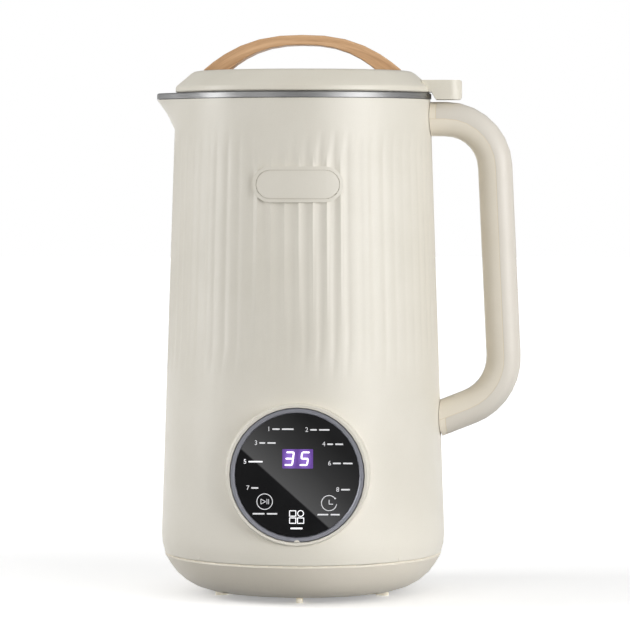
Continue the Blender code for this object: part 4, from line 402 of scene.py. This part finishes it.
def bentwood(name, pale, mid, dark):
    """Wood whose grain follows the lid handle's arch from end to end."""
    low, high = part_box("lid_handle")
    half_span = (high.x - low.x) / 2
    rise = high.z - low.z
    recipe = Recipe(name)
    axes = recipe.axes()
    along = recipe.math("SUBTRACT", axes["X"], AXIS_X)
    share = recipe.math("DIVIDE", recipe.math("ABSOLUTE", along), half_span)
    drop = recipe.math("MULTIPLY", recipe.math("POWER", share, ARCH_POWER), rise)
    level = recipe.math("ADD", axes["Z"], drop)
    grain = recipe.point(recipe.math("MULTIPLY", along, WOOD_STRETCH), axes["Y"], level)
    fibres = recipe.noise(scale=900, detail=5, place=grain, roughness=0.65)
    bands = recipe.noise(scale=150, detail=3, place=grain, distortion=0.6)
    pores = recipe.noise(scale=2600, place=grain)
    mixed = recipe.math("MULTIPLY_ADD", fibres, FIBRE_SHARE, recipe.math("MULTIPLY", bands, BAND_SHARE))
    recipe.set(base_color=recipe.ramp(mixed, ((0.40, dark), (0.52, mid), (0.66, pale))))
    recipe.roughness(fibres, low=0.36, high=0.52)
    broad = recipe.bump(fibres, distance=0.00004, strength=0.35)
    recipe.bump(pores, distance=0.00003, strength=0.3, under=broad)
    recipe.set(coat_weight=0.25, coat_roughness=0.3)
    return recipe.material


def black_glass(name):
    """Black glass, almost a mirror."""
    recipe = Recipe(name)
    tint = recipe.noise(scale=60, detail=3)
    recipe.set(base_color=recipe.tones(tint, srgb(31, 31, 32), srgb(35, 35, 36), low=0.35, high=0.65))
    recipe.roughness(recipe.noise(scale=130, detail=4), low=0.004, high=0.012)
    recipe.bump(recipe.noise(scale=90), distance=0.00001, strength=0.02)
    return recipe.material


def satin_ring(name, light, dark):
    """The dark metallic paint of the ring round the lens, with faint brush lines round it."""
    recipe = Recipe(name)
    axes = recipe.axes()
    across = recipe.math("SUBTRACT", axes["X"], PANEL_CENTRE.x)
    up = recipe.math("SUBTRACT", axes["Z"], PANEL_CENTRE.z)
    turn = recipe.math("MULTIPLY", recipe.math("ARCTAN2", up, across), RING_TURN)
    unrolled = recipe.point(recipe.length(across, up), turn)
    lines = recipe.noise(scale=3000, detail=3, place=unrolled, roughness=0.6)
    recipe.set(base_color=recipe.tones(lines, dark, light), metallic=0.6)
    recipe.roughness(lines, low=0.26, high=0.4)
    recipe.bump(lines, distance=0.00001, strength=0.3)
    return recipe.material


def circuit_board(name):
    """Green board with raised tracks."""
    recipe = Recipe(name)
    longer = recipe.add("ShaderNodeMapping", {"Vector": recipe.place, "Scale": (1, 1, 0.5)})
    tracks = recipe.add("ShaderNodeTexBrick", {
        "Vector": longer.outputs["Vector"], "Scale": 160, "Mortar Size": 0.035,
        "Color1": srgb(22, 78, 50), "Color2": srgb(26, 92, 58), "Mortar": srgb(58, 128, 84),
    })
    recipe.set(base_color=tracks.outputs["Color"])
    recipe.roughness(recipe.noise(scale=500), low=0.3, high=0.45)
    recipe.bump(tracks.outputs["Fac"], distance=0.00003, strength=0.4)
    return recipe.material


def wound_copper(name):
    """Enamelled copper wire laid side by side."""
    recipe = Recipe(name)
    strands = recipe.bands(scale=380, distortion=1.2)
    colour = recipe.tones(strands, srgb(120, 58, 30), srgb(205, 125, 78), low=0.2, high=0.8)
    recipe.set(base_color=colour, metallic=0.9)
    recipe.roughness(recipe.noise(scale=600), low=0.25, high=0.4)
    recipe.bump(strands, distance=0.0001, strength=0.7)
    return recipe.material


def stacked_iron(name):
    """Thin iron sheets stacked along the motor's axis."""
    recipe = Recipe(name)
    sheets = recipe.bands(scale=620, distortion=0.4)
    recipe.set(base_color=recipe.tones(sheets, srgb(70, 70, 74), srgb(128, 128, 132)), metallic=1.0)
    recipe.roughness(recipe.noise(scale=700, detail=3), low=0.4, high=0.6)
    recipe.bump(sheets, distance=0.00008, strength=0.6)
    return recipe.material


def silicone(name):
    """Soft white silicone that lets a little light in."""
    recipe = Recipe(name)
    tint = recipe.noise(scale=120, detail=3)
    recipe.set(base_color=recipe.tones(tint, srgb(214, 212, 204), srgb(226, 224, 218), low=0.35, high=0.65))
    recipe.roughness(recipe.noise(scale=800), low=0.5, high=0.66)
    recipe.bump(recipe.noise(scale=2200), distance=0.00002, strength=0.4)
    recipe.set(subsurface_weight=0.15, subsurface_scale=0.002)
    return recipe.material


def lit_print(name, colour, strength, mottled):
    """Print on the lens that is lit from behind."""
    recipe = Recipe(name)
    recipe.set(base_color=recipe.tones(recipe.noise(scale=1500), mottled, colour))
    recipe.roughness(recipe.noise(scale=900), low=0.3, high=0.45)
    glow = recipe.tones(recipe.noise(scale=500), mottled, colour)
    recipe.set(emission_color=glow, emission_strength=strength)
    return recipe.material


def window_glow(name, near, far):
    """The violet light behind the figures, strongest round each of them."""
    recipe = Recipe(name)
    axes = recipe.axes()
    up = recipe.math("DIVIDE", recipe.math("SUBTRACT", axes["Z"], DIGIT_Z), 2 * DIGIT_HALF_HEIGHT)
    reaches = []
    for place in DIGIT_PLACES.values():
        across = recipe.math("DIVIDE", recipe.math("SUBTRACT", axes["X"], place), 2 * DIGIT_HALF_WIDTH)
        reaches.append(recipe.length(across, up))
    grain = recipe.noise(scale=1400)
    waver = recipe.math("SUBTRACT", grain, NOISE_MIDDLE)
    level = recipe.math("MULTIPLY_ADD", waver, GLOW_GRAIN, recipe.math("MINIMUM", *reaches))
    glow = recipe.tones(recipe.math("MULTIPLY", level, GLOW_REACH), near, far, low=0.1, high=0.78)
    recipe.set(base_color=recipe.tones(grain, srgb(16, 12, 22), srgb(20, 15, 28)))
    recipe.roughness(recipe.noise(scale=900), low=0.2, high=0.3)
    recipe.set(emission_color=glow, emission_strength=1.0)
    return recipe.material


FINISHES = {
    "shell": moulded_plastic("cream_shell", srgb(232, 227, 215), srgb(226, 221, 208)),
    "lid": moulded_plastic("cream_lid", srgb(232, 227, 213), srgb(226, 220, 205)),
    "base": moulded_plastic("cream_base", srgb(231, 224, 210), srgb(224, 217, 202)),
    # painted light: the grip's inner half gets a lighter copy of the cream, to lift the shade on its side
    # facing the body
    "grip_outside": moulded_plastic("cream_grip_outside", srgb(226, 220, 209), srgb(221, 214, 202)),
    "grip_inside": moulded_plastic("cream_grip_inside", srgb(240, 232, 216), srgb(235, 226, 209)),
    # painted light: the feet glow faintly so they read bright in the shade under the base
    "foot": rubber("cream_foot", srgb(232, 225, 208), srgb(222, 214, 196), glow=0.3),
    "wood": bentwood("bentwood", srgb(222, 182, 140), srgb(206, 164, 122), srgb(184, 142, 102)),
    "steel": turned_metal("brushed_steel", srgb(157, 157, 157), srgb(138, 138, 138), gloss=(0.42, 0.54)),
    "bezel": satin_ring("dark_bezel", srgb(151, 152, 160), srgb(133, 134, 142)),
    "lens": black_glass("black_glass"),
    "display": lit_print("display_glow", srgb(190, 160, 255), 0.3, srgb(120, 90, 200)),
    "board": circuit_board("circuit_board"),
    "silicone": silicone("white_silicone"),
    "black": moulded_plastic("black_plastic", srgb(34, 34, 35), srgb(26, 26, 27),
                             gloss=(0.4, 0.55), grain=0.00003),
    "aluminium": plain_metal("cast_aluminium", srgb(200, 202, 205), srgb(170, 172, 176), gloss=(0.3, 0.48)),
    "copper": wound_copper("wound_copper"),
    "brass": plain_metal("brass", srgb(208, 176, 100), srgb(182, 148, 78), gloss=(0.22, 0.38)),
    "iron": stacked_iron("stacked_iron"),
    "nickel": plain_metal("nickel", srgb(176, 176, 180), srgb(150, 150, 156), gloss=(0.18, 0.3)),
}

NODE_FINISHES = {
    "shell": ("outer_shell", "badge_plate"),
    "lid": ("lid_cover", "lid_inner"),
    "base": ("base_cover",),
    "grip_outside": ("handle_cover",),
    "grip_inside": ("handle_frame",),
    "foot": tuple(f"foot_{number}" for number in range(1, 6)),
    "wood": ("lid_handle",),
    "steel": ("inner_jug", "heating_element", "temperature_sensor", "motor_shaft", "lower_blade",
              "upper_blade", "blade_nut", "upper_bearing", "lower_bearing"),
    "bezel": ("panel_bezel",),
    "lens": ("panel_lens",),
    "display": ("display_module",),
    "board": ("control_board", "power_board"),
    "silicone": ("rim_seal", "lid_gasket", "shaft_seal"),
    "black": ("inlet_socket", "reed_switch", "board_transformer", "cooling_fan", "brush_holder_left",
              "brush_holder_right"),
    "aluminium": ("heater_plate", "motor_carrier", "motor_upper_bracket", "motor_lower_bracket"),
    "copper": ("field_coil_front", "field_coil_rear", "commutator"),
    "brass": ("key_spring_start", "key_spring_menu", "key_spring_timer", "inlet_pin_live",
              "inlet_pin_earth", "inlet_pin_neutral", "thermal_cutout"),
    "iron": ("stator_core", "armature"),
    "nickel": ("lid_magnet", "lid_screw_left", "lid_screw_right", "handle_screw", "base_screw_1",
               "base_screw_2", "base_screw_3"),
}


def smooth_group(name):
    """Joins split corners, shades every face smooth and keeps the sharper edges sharp."""
    group = bpy.data.node_groups.new(name, "GeometryNodeTree")
    for side in ("INPUT", "OUTPUT"):
        group.interface.new_socket("Geometry", in_out=side, socket_type="NodeSocketGeometry")
    graph = Graph(group)
    edge_angle = graph.add("GeometryNodeInputMeshEdgeAngle").outputs["Unsigned Angle"]
    soft = graph.add("FunctionNodeCompare", {"A": edge_angle, "B": SMOOTH_ANGLE}, operation="LESS_THAN")
    chain = (
        graph.add("NodeGroupInput"),
        graph.add("GeometryNodeMergeByDistance", {"Distance": WELD_DISTANCE}),
        graph.add("GeometryNodeRemoveAttribute", {"Name": "custom_normal"}),
        graph.add("GeometryNodeSetShadeSmooth", {"Shade Smooth": True}, domain="FACE"),
        graph.add("GeometryNodeSetShadeSmooth", {"Shade Smooth": soft.outputs["Result"]}, domain="EDGE"),
        graph.add("NodeGroupOutput"),
    )
    for before, after in zip(chain, chain[1:]):
        graph.feed(after.inputs["Geometry"], before.outputs["Geometry"])
    return group


def dress_nodes():
    """Gives every node its material and its shading."""
    soft_shading = smooth_group("soft_shading")
    for finish, names in NODE_FINISHES.items():
        for name in names:
            node = NODES[name]
            node.data.materials.clear()
            node.data.materials.append(FINISHES[finish])
            node.modifiers.new("soft_shading", "NODES").node_group = soft_shading
            if name == SOFT_EDGE_NODE:
                rounding = node.modifiers.new("soft_edges", "BEVEL")
                rounding.width = SOFT_EDGE_WIDTH
                rounding.segments = SOFT_EDGE_STEPS
                rounding.limit_method = "ANGLE"
                rounding.angle_limit = SOFT_EDGE_ANGLE
            if name in EVEN_NODES:
                weighted = node.modifiers.new("even_normals", "WEIGHTED_NORMAL")
                weighted.mode = "FACE_AREA"
                weighted.keep_sharp = True


def node_shape(node_name):
    """A node's mesh in the scene's frame, with split corners joined."""
    shape = bmesh.new()
    shape.from_mesh(NODES[node_name].data)
    shape.transform(NODES[node_name].matrix_world)
    bmesh.ops.remove_doubles(shape, verts=shape.verts, dist=WELD_DISTANCE)
    shape.normal_update()
    return shape


def node_surface(node_name):
    """A node's surface, for finding where a ray meets it."""
    shape = node_shape(node_name)
    surface = BVHTree.FromBMesh(shape)
    shape.free()
    return surface


def extruded(shape):
    """Extrudes every face of a shape and gives the vertices to be moved."""
    grown = bmesh.ops.extrude_face_region(shape, geom=list(shape.faces), use_keep_orig=True)
    return [item for item in grown["geom"] if isinstance(item, bmesh.types.BMVert)]


def add_piece(name, data, material, place=(0, 0, 0), turn=(0, 0, 0)):
    """Puts a mesh or text into the scene as a piece that moves with the jug."""
    data.materials.append(material)
    piece = bpy.data.objects.new(name, data)
    piece.location = place
    piece.rotation_euler = turn
    bpy.context.scene.collection.objects.link(piece)
    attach(piece, "jug_body")


def add_shape(name, shape, material, place=(0, 0, 0)):
    """Turns a finished shape into a piece of that name."""
    bmesh.ops.recalc_face_normals(shape, faces=shape.faces)
    mesh = bpy.data.meshes.new(name)
    shape.to_mesh(mesh)
    shape.free()
    add_piece(name, mesh, material, place)


def seam_strip(name, node_name, other_name, room, material):
    """A thin strip that fills the gap between two nodes, grown from the first one's faces at the gap."""
    shape = node_shape(node_name)
    other = node_surface(other_name)
    away = []
    for face in shape.faces:
        start = face.calc_center_median() + face.normal * WELD_DISTANCE
        if other.ray_cast(start, face.normal, room)[0] is None:
            away.append(face)
    bmesh.ops.delete(shape, geom=away, context="FACES")
    shape.normal_update()
    for vertex in extruded(shape):
        vertex.co += vertex.normal * SEAM_THICKNESS
    add_shape(name, shape, material)


def make_print(name, outlines, material, lift=PRINT_LIFT, thickness=PRINT_THICKNESS):
    """Flat print standing just proud of the lens, from outlines in metres across and up."""
    shape = bmesh.new()
    for outline in outlines:
        face = shape.faces.new([shape.verts.new((x, 0, z)) for x, z in outline])
        face.normal_update()
        if face.normal.y > 0:
            face.normal_flip()
    bmesh.ops.remove_doubles(shape, verts=shape.verts, dist=WELD_DISTANCE)
    bmesh.ops.translate(shape, verts=extruded(shape), vec=(0, thickness, 0))
    add_shape(name, shape, material, PANEL_CENTRE + Vector((0, -lift - thickness, 0)))


def round_point(centre, radius, angle):
    """The point at an angle on a circle."""
    return (centre[0] + radius * math.cos(angle), centre[1] + radius * math.sin(angle))


def arc_points(centre, radius, start, end, steps):
    """Points along part of a circle, with both of its ends."""
    return [round_point(centre, radius, start + (end - start) * index / steps) for index in range(steps + 1)]


def ring_outlines(centre, radius, width, start=0.0, end=2 * math.pi, steps=RING_STEPS):
    """A ring or part of one, as short four-sided outlines."""
    inner = arc_points(centre, radius - width / 2, start, end, steps)
    outer = arc_points(centre, radius + width / 2, start, end, steps)
    return [[inner[i], outer[i], outer[i + 1], inner[i + 1]] for i in range(steps)]


def rounded_box(centre, width, height, corner):
    """A box's outline with round corners."""
    outline = []
    for quarter, (side_x, side_y) in enumerate(((1, 1), (-1, 1), (-1, -1), (1, -1))):
        middle = (
            centre[0] + side_x * (width / 2 - corner),
            centre[1] + side_y * (height / 2 - corner),
        )
        start = quarter * math.pi / 2
        outline += arc_points(middle, corner, start, start + math.pi / 2, CORNER_STEPS)
    return outline


def closed_sides(outline):
    """Each point of a closed outline with the one after it."""
    return list(zip(outline, outline[1:] + outline[:1]))


def filled_between(outer, inner):
    """Four-sided outlines side by side, between two closed outlines with as many points."""
    pairs = zip(closed_sides(outer), closed_sides(inner))
    return [[start, end, inner_end, inner_start] for (start, end), (inner_start, inner_end) in pairs]


def frame_outlines(centre, width, height, corner, inner_corner, line):
    """A rounded frame, as short four-sided outlines between two rounded boxes."""
    outer = rounded_box(centre, width, height, corner)
    inner = rounded_box(centre, width - 2 * line, height - 2 * line, inner_corner)
    return filled_between(outer, inner)


def curved_path(corners, radius, steps=CORNER_STEPS):
    """Straight lines from corner to corner, with each corner in between rounded."""
    corners = [Vector(corner) for corner in corners]
    path = [corners[0]]
    for before, corner, after in zip(corners, corners[1:], corners[2:]):
        start = corner + (before - corner).normalized() * radius
        end = corner + (after - corner).normalized() * radius
        for index in range(steps + 1):
            share = index / steps
            path.append(start.lerp(corner, share).lerp(corner.lerp(end, share), share))
    return path + [corners[-1]]


def line_outlines(path, width):
    """A drawn line with round ends, as short outlines side by side."""
    path = [Vector(point) for point in path]
    sides = []
    for index, point in enumerate(path):
        along = path[min(index + 1, len(path) - 1)] - path[max(index - 1, 0)]
        across = Vector((-along.y, along.x)).normalized() * width / 2
        sides.append((point + across, point - across))
    outlines = [[first[0], first[1], second[1], second[0]] for first, second in zip(sides, sides[1:])]
    for centre, (left, right) in ((path[0], sides[0]), (path[-1], sides[-1][::-1])):
        start = math.atan2(left.y - centre.y, left.x - centre.x)
        arc = arc_points(centre, width / 2, start, start + math.pi, CAP_STEPS)
        outlines.append([left] + [Vector(point) for point in arc[1:-1]] + [right])
    return outlines


def closed_steps(outline, counts):
    """A closed outline with each side cut into the given number of steps."""
    points = []
    for (start, end), count in zip(closed_sides(outline), counts):
        for step in range(count):
            share = step / count
            points.append((start[0] + (end[0] - start[0]) * share, start[1] + (end[1] - start[1]) * share))
    return points


def make_badge_line(material):
    """A line of painted shade in the groove just inside the badge's edge, laid on the groove's curved floor.
    """
    low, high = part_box("badge_plate")
    badge = node_surface("badge_plate")
    centre = ((low.x + high.x) / 2, (low.z + high.z) / 2)
    outlines = []
    for inset in (BADGE_LINE_INSET, BADGE_LINE_INSET + BADGE_LINE_WIDTH):
        width = high.x - low.x - 2 * inset
        height = high.z - low.z - 2 * inset
        outlines.append(rounded_box(centre, width, height, height / 2 * BADGE_LINE_ROUNDNESS))
    sides = closed_sides(outlines[0])
    counts = [max(1, math.ceil(math.dist(start, end) / BADGE_LINE_STEP)) for start, end in sides]
    shape = bmesh.new()
    rows = []
    for outline in outlines:
        row = []
        for x, z in closed_steps(outline, counts):
            hit = badge.ray_cast(Vector((x, low.y - RAY_START, z)), Vector((0, 1, 0)))[0]
            row.append(shape.verts.new(hit - Vector((0, PRINT_LIFT + PRINT_THICKNESS, 0))))
        rows.append(row)
    for corners in filled_between(*rows):
        shape.faces.new(corners)
    bmesh.ops.translate(shape, verts=extruded(shape), vec=(0, PRINT_THICKNESS, 0))
    add_shape("badge_line", shape, material)


def digit_outlines(character):
    """A slanted figure of the clock display, drawn with one even line."""
    wide = DIGIT_HALF_WIDTH
    high = DIGIT_HALF_HEIGHT
    if character == "5":
        corners = [(wide, high), (-wide, high), (-wide, 0), (wide, 0), (wide, -high), (-wide, -high)]
        lines = [curved_path(corners, DIGIT_CORNER)]
    else:
        corners = [(-wide, high), (wide, high), (wide, -high), (-wide, -high)]
        lines = [curved_path(corners, DIGIT_CORNER), [(-wide, 0), (wide - DIGIT_STROKE, 0)]]
    outlines = []
    for line in lines:
        outlines += line_outlines(line, DIGIT_STROKE)
    place = DIGIT_PLACES[character]
    return [[(place + x + z * DIGIT_SLANT, DIGIT_Z + z) for x, z in outline] for outline in outlines]


def make_display():
    """The glowing window of the clock display and the figures on it."""
    window = window_glow("display_window", srgb(146, 108, 208), srgb(98, 60, 150))
    figures = lit_print("display_figures", srgb(255, 250, 255), 1.0, srgb(250, 240, 255))
    window_outline = rounded_box(WINDOW_PLACE, *WINDOW_SIZE, WINDOW_CORNER)
    make_print("display_window", [window_outline], window, thickness=WINDOW_LAYER)
    outlines = [outline for character in DIGIT_PLACES for outline in digit_outlines(character)]
    make_print("display_figures", outlines, figures, lift=PRINT_LIFT + WINDOW_LAYER)


def make_notch():
    """The small cream mark at the foot of the panel's dark ring."""
    x, z = NOTCH_PLACE
    width, height = NOTCH_SIZE
    outline = [(x - width / 2, z - height / 2), (x + width / 2, z - height / 2)]
    for step in range(1, NOTCH_STEPS):
        angle = step * math.pi / NOTCH_STEPS
        outline.append((x + width / 2 * math.cos(angle), z - height / 2 + height * math.sin(angle)))
    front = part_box("panel_bezel")[0].y
    make_print("panel_notch", [outline], FINISHES["shell"], lift=LENS_FRONT_Y - front + PRINT_LIFT)


def moved(path, place):
    """A path drawn from the middle, put at its place."""
    return [(place[0] + x, place[1] + z) for x, z in path]


def make_symbols(white, bright):
    """The touch symbols: start and pause, timer, and menu."""
    lines = ring_outlines(START_PLACE, START_RADIUS, SYMBOL_LINE)
    for path in START_PATHS:
        curved = curved_path(moved(path, START_PLACE), START_CORNER, START_CORNER_STEPS)
        lines += line_outlines(curved, START_LINE)
    make_print("start_symbol", lines, white)

    lines = ring_outlines(TIMER_PLACE, TIMER_RADIUS, SYMBOL_LINE, TIMER_START, TIMER_END)
    dot = round_point(TIMER_PLACE, TIMER_RADIUS, TIMER_DOT_ANGLE)
    lines.append(arc_points(dot, TIMER_DOT_RADIUS, 0, 2 * math.pi, TIMER_DOT_STEPS)[:-1])
    hands = curved_path(moved(TIMER_HANDS, TIMER_PLACE), TIMER_HAND_CORNER, TIMER_HAND_STEPS)
    lines += line_outlines(hands, SYMBOL_LINE)
    make_print("timer_symbol", lines, white)

    across, up = MENU_SPREAD
    tiles = []
    for centre in moved([(side_x * across, side_z * up) for side_x, side_z in MENU_TILE_SIDES], MENU_PLACE):
        tiles += frame_outlines(centre, *MENU_TILE_SIZE, MENU_TILE_CORNER, MENU_INNER_CORNER, MENU_LINE)
    ring_centre = moved([MENU_SPREAD], MENU_PLACE)[0]
    tiles += ring_outlines(ring_centre, MENU_RING_RADIUS, MENU_LINE, steps=MENU_RING_STEPS)
    make_print("menu_symbol", tiles, bright)


def make_number(name, text, centre, material):
    """A plain number on the lens."""
    letters = bpy.data.curves.new(name, "FONT")
    letters.body = text
    letters.size = NUMBER_HEIGHT
    letters.align_x = "CENTER"
    letters.align_y = "CENTER"
    letters.extrude = PRINT_THICKNESS / 2
    place = PANEL_CENTRE + Vector((centre[0], -PRINT_LIFT - PRINT_THICKNESS / 2, centre[1]))
    add_piece(name, letters, material, place, turn=(math.pi / 2, 0, 0))


def row_width(widths):
    """The width of bars side by side, with the gaps between them."""
    return sum(widths) + BAR_GAP * (len(widths) - 1)


def bar_row(left, z, widths, height=BAR_HEIGHT):
    """Short bars side by side, from the left end."""
    outlines = []
    for width in widths:
        outlines.append(rounded_box((left + width / 2, z), width, height, height * BAR_CORNER_SHARE))
        left += width + BAR_GAP
    return outlines


def make_labels(white, bright):
    """Numbers and short bars beside the eight programme lights, and bars under the three symbols."""
    for number, ((x, z), widths) in enumerate(LABELS, start=1):
        ink = bright if number == CHOSEN_NUMBER else white
        left = x - (NUMBER_ROOM + row_width(widths)) / 2
        make_number(f"programme_number_{number}", str(number), (left + NUMBER_SHIFT, z), ink)
        make_print(f"programme_bar_{number}", bar_row(left + NUMBER_ROOM, z, widths), ink)
    bars = []
    for (x, z), widths in CAPTIONS:
        bars += bar_row(x - row_width(widths) / 2, z, widths)
    make_print("symbol_captions", bars, white)
    (x, z), widths = MENU_CAPTION
    make_print("menu_caption", bar_row(x - row_width(widths) / 2, z, widths, MENU_BAR_HEIGHT), bright)


def bare_material(name):
    """A material with no nodes yet, and the graph to fill."""
    material = bpy.data.materials.new(name)
    material.use_nodes = True
    material.node_tree.nodes.clear()
    return material, Graph(material.node_tree)


def square_sheet(name, half, up, place, material):
    """A flat square with X as its one direction and the given one as the other."""
    mesh = bpy.data.meshes.new(name)
    corners = [Vector((half * x, half * y * up[1], half * y * up[2])) for x, y in SQUARE]
    mesh.from_pydata(corners, [], [(0, 1, 2, 3)])
    mesh.materials.append(material)
    sheet = bpy.data.objects.new(name, mesh)
    sheet.location = place
    bpy.context.scene.collection.objects.link(sheet)
    return sheet


def make_gloss_card():
    """A black card before the lens, seen only in its gloss, that glows beyond a slanting edge."""
    reach = CARD_DISTANCE / (LENS_FRONT_Y - EYE.y)
    spread = 1 + reach
    centre = PANEL_CENTRE + (PANEL_CENTRE - EYE) * reach
    centre.y = LENS_FRONT_Y - CARD_DISTANCE
    edge_start, edge_end = (Vector(point) for point in GLOSS_EDGE)
    along = edge_end - edge_start
    across = Vector((-along.y, along.x)).normalized()
    level = across.dot(edge_start)
    material, graph = bare_material("gloss_card")
    place = graph.add("ShaderNodeTexCoord").outputs["Object"]
    turned = graph.vector("DOT_PRODUCT", place, (across.x / spread, 0, across.y / spread))
    fade = graph.between(turned, level, level + GLOSS_FADE)
    colour = graph.ramp(fade, [(position, (grey, grey, grey, 1)) for position, grey in GLOSS_STOPS])
    glow = graph.add("ShaderNodeEmission", {"Color": colour, "Strength": GLOSS_LEVEL})
    graph.add("ShaderNodeOutputMaterial", {"Surface": glow.outputs[0]})
    card = square_sheet("gloss_card", LENS_RADIUS * spread * CARD_MARGIN, (0, 0, 1), centre, material)
    card.visible_camera = False
    card.visible_diffuse = False
    card.visible_transmission = False
    card.visible_shadow = False


def make_floor():
    """A white floor that glows to the eye, more so away from the jug, and sends little light back; the weaker
    glow near the jug is painted shade round its foot, on top of its real shadow.
    """
    material, graph = bare_material("floor_white")
    ray = graph.add("ShaderNodeLightPath").outputs
    seen = graph.math("MAXIMUM", ray["Is Camera Ray"], ray["Is Glossy Ray"])
    plain = graph.add("ShaderNodeBsdfDiffuse", {"Color": graph.between(seen, 0, 1, FLOOR_BOUNCE, FLOOR_SEEN)})
    away = graph.vector("LENGTH", graph.add("ShaderNodeTexCoord").outputs["Object"])
    level = graph.between(away, FLOOR_NEAR, FLOOR_FAR, FLOOR_GLOW_NEAR, FLOOR_GLOW_FAR, "SMOOTHSTEP")
    glow = graph.add("ShaderNodeEmission", {"Strength": graph.math("MULTIPLY", seen, level)})
    both = graph.add("ShaderNodeAddShader", {0: plain.outputs[0], 1: glow.outputs[0]})
    graph.add("ShaderNodeOutputMaterial", {"Surface": both.outputs[0]})
    floor = square_sheet("floor", FLOOR_HALF, (0, 1, 0), (0, 0, -FLOOR_DROP), material)


def make_world():
    """White to the camera, dimmer as light, and nearly dark in gloss that looks towards the camera."""
    world = bpy.data.worlds.new("studio")
    bpy.context.scene.world = world
    world.use_nodes = True
    graph = Graph(world.node_tree)
    ray = graph.add("ShaderNodeLightPath").outputs
    level = graph.between(ray["Is Camera Ray"], 0, 1, WORLD_LEVEL, 1.0)
    way = graph.add("ShaderNodeTexCoord").outputs["Generated"]
    flat_way = graph.vector("NORMALIZE", graph.vector("MULTIPLY", way, (1, 1, 0)))
    front = graph.vector("DOT_PRODUCT", flat_way, EYE_BACK)
    front_level = graph.between(
        front, math.cos(FRONT_DARK_END), math.cos(FRONT_DARK_START), 1.0, FRONT_DARK_LEVEL, "SMOOTHSTEP")
    gloss_only = graph.between(ray["Is Glossy Ray"], 0, 1, 1.0, front_level)
    background = graph.nodes["Background"]
    graph.feed(background.inputs["Strength"], graph.math("MULTIPLY", level, gloss_only))
    graph.feed(background.inputs["Color"], (1, 1, 1, 1))


def make_lamp(name, place, size, power, aim=LAMP_AIM, spread=math.pi):
    """A flat lamp turned towards the place it is aimed at."""
    light = bpy.data.lights.new(name, "AREA")
    light.shape = "RECTANGLE"
    light.size, light.size_y = size
    light.energy = power
    light.spread = spread
    lamp = bpy.data.objects.new(name, light)
    lamp.location = place
    direction = Vector(aim) - Vector(place)
    lamp.rotation_euler = direction.to_track_quat("-Z", "Y").to_euler()
    bpy.context.scene.collection.objects.link(lamp)


def make_camera():
    """The camera of the photograph."""
    camera = bpy.data.objects.new("camera", bpy.data.cameras.new("camera"))
    camera.data.lens = FOCAL_LENGTH
    camera.data.sensor_width = SENSOR_WIDTH
    camera.data.clip_start = CLIP_START
    camera.data.clip_end = CLIP_END
    camera.location = EYE
    camera.rotation_euler = (math.pi / 2 - EYE_TILT, 0, EYE_AZIMUTH)
    bpy.context.scene.collection.objects.link(camera)
    bpy.context.scene.camera = camera


dress_nodes()
# painted light: the seam strips glow faintly, so the shade in the gaps of handle and base reads light
SEAM_TAN = moulded_plastic("seam_tan", srgb(205, 193, 171), srgb(196, 184, 161), glow=0.3)
SEAM_CREAM = moulded_plastic("seam_cream", srgb(218, 211, 196), srgb(210, 203, 187), glow=0.3)
seam_strip("handle_seam", "handle_frame", "handle_cover", HANDLE_SEAM_ROOM, SEAM_TAN)
seam_strip("base_seam", "base_cover", "outer_shell", BASE_SEAM_ROOM, SEAM_CREAM)
make_badge_line(moulded_plastic("badge_shade", srgb(210, 204, 190), srgb(203, 197, 182)))
make_display()
make_notch()
WHITE_PRINT = lit_print("panel_print", srgb(222, 222, 224), 0.35, srgb(206, 206, 209))
BRIGHT_PRINT = lit_print("panel_print_lit", srgb(250, 250, 252), 0.5, srgb(236, 236, 240))
make_symbols(WHITE_PRINT, BRIGHT_PRINT)
make_labels(WHITE_PRINT, BRIGHT_PRINT)
make_gloss_card()
make_floor()
make_world()
for lamp_name, lamp_settings in LAMPS.items():
    make_lamp(lamp_name, **lamp_settings)
make_camera()
bpy.context.scene.view_settings.view_transform = "Standard"
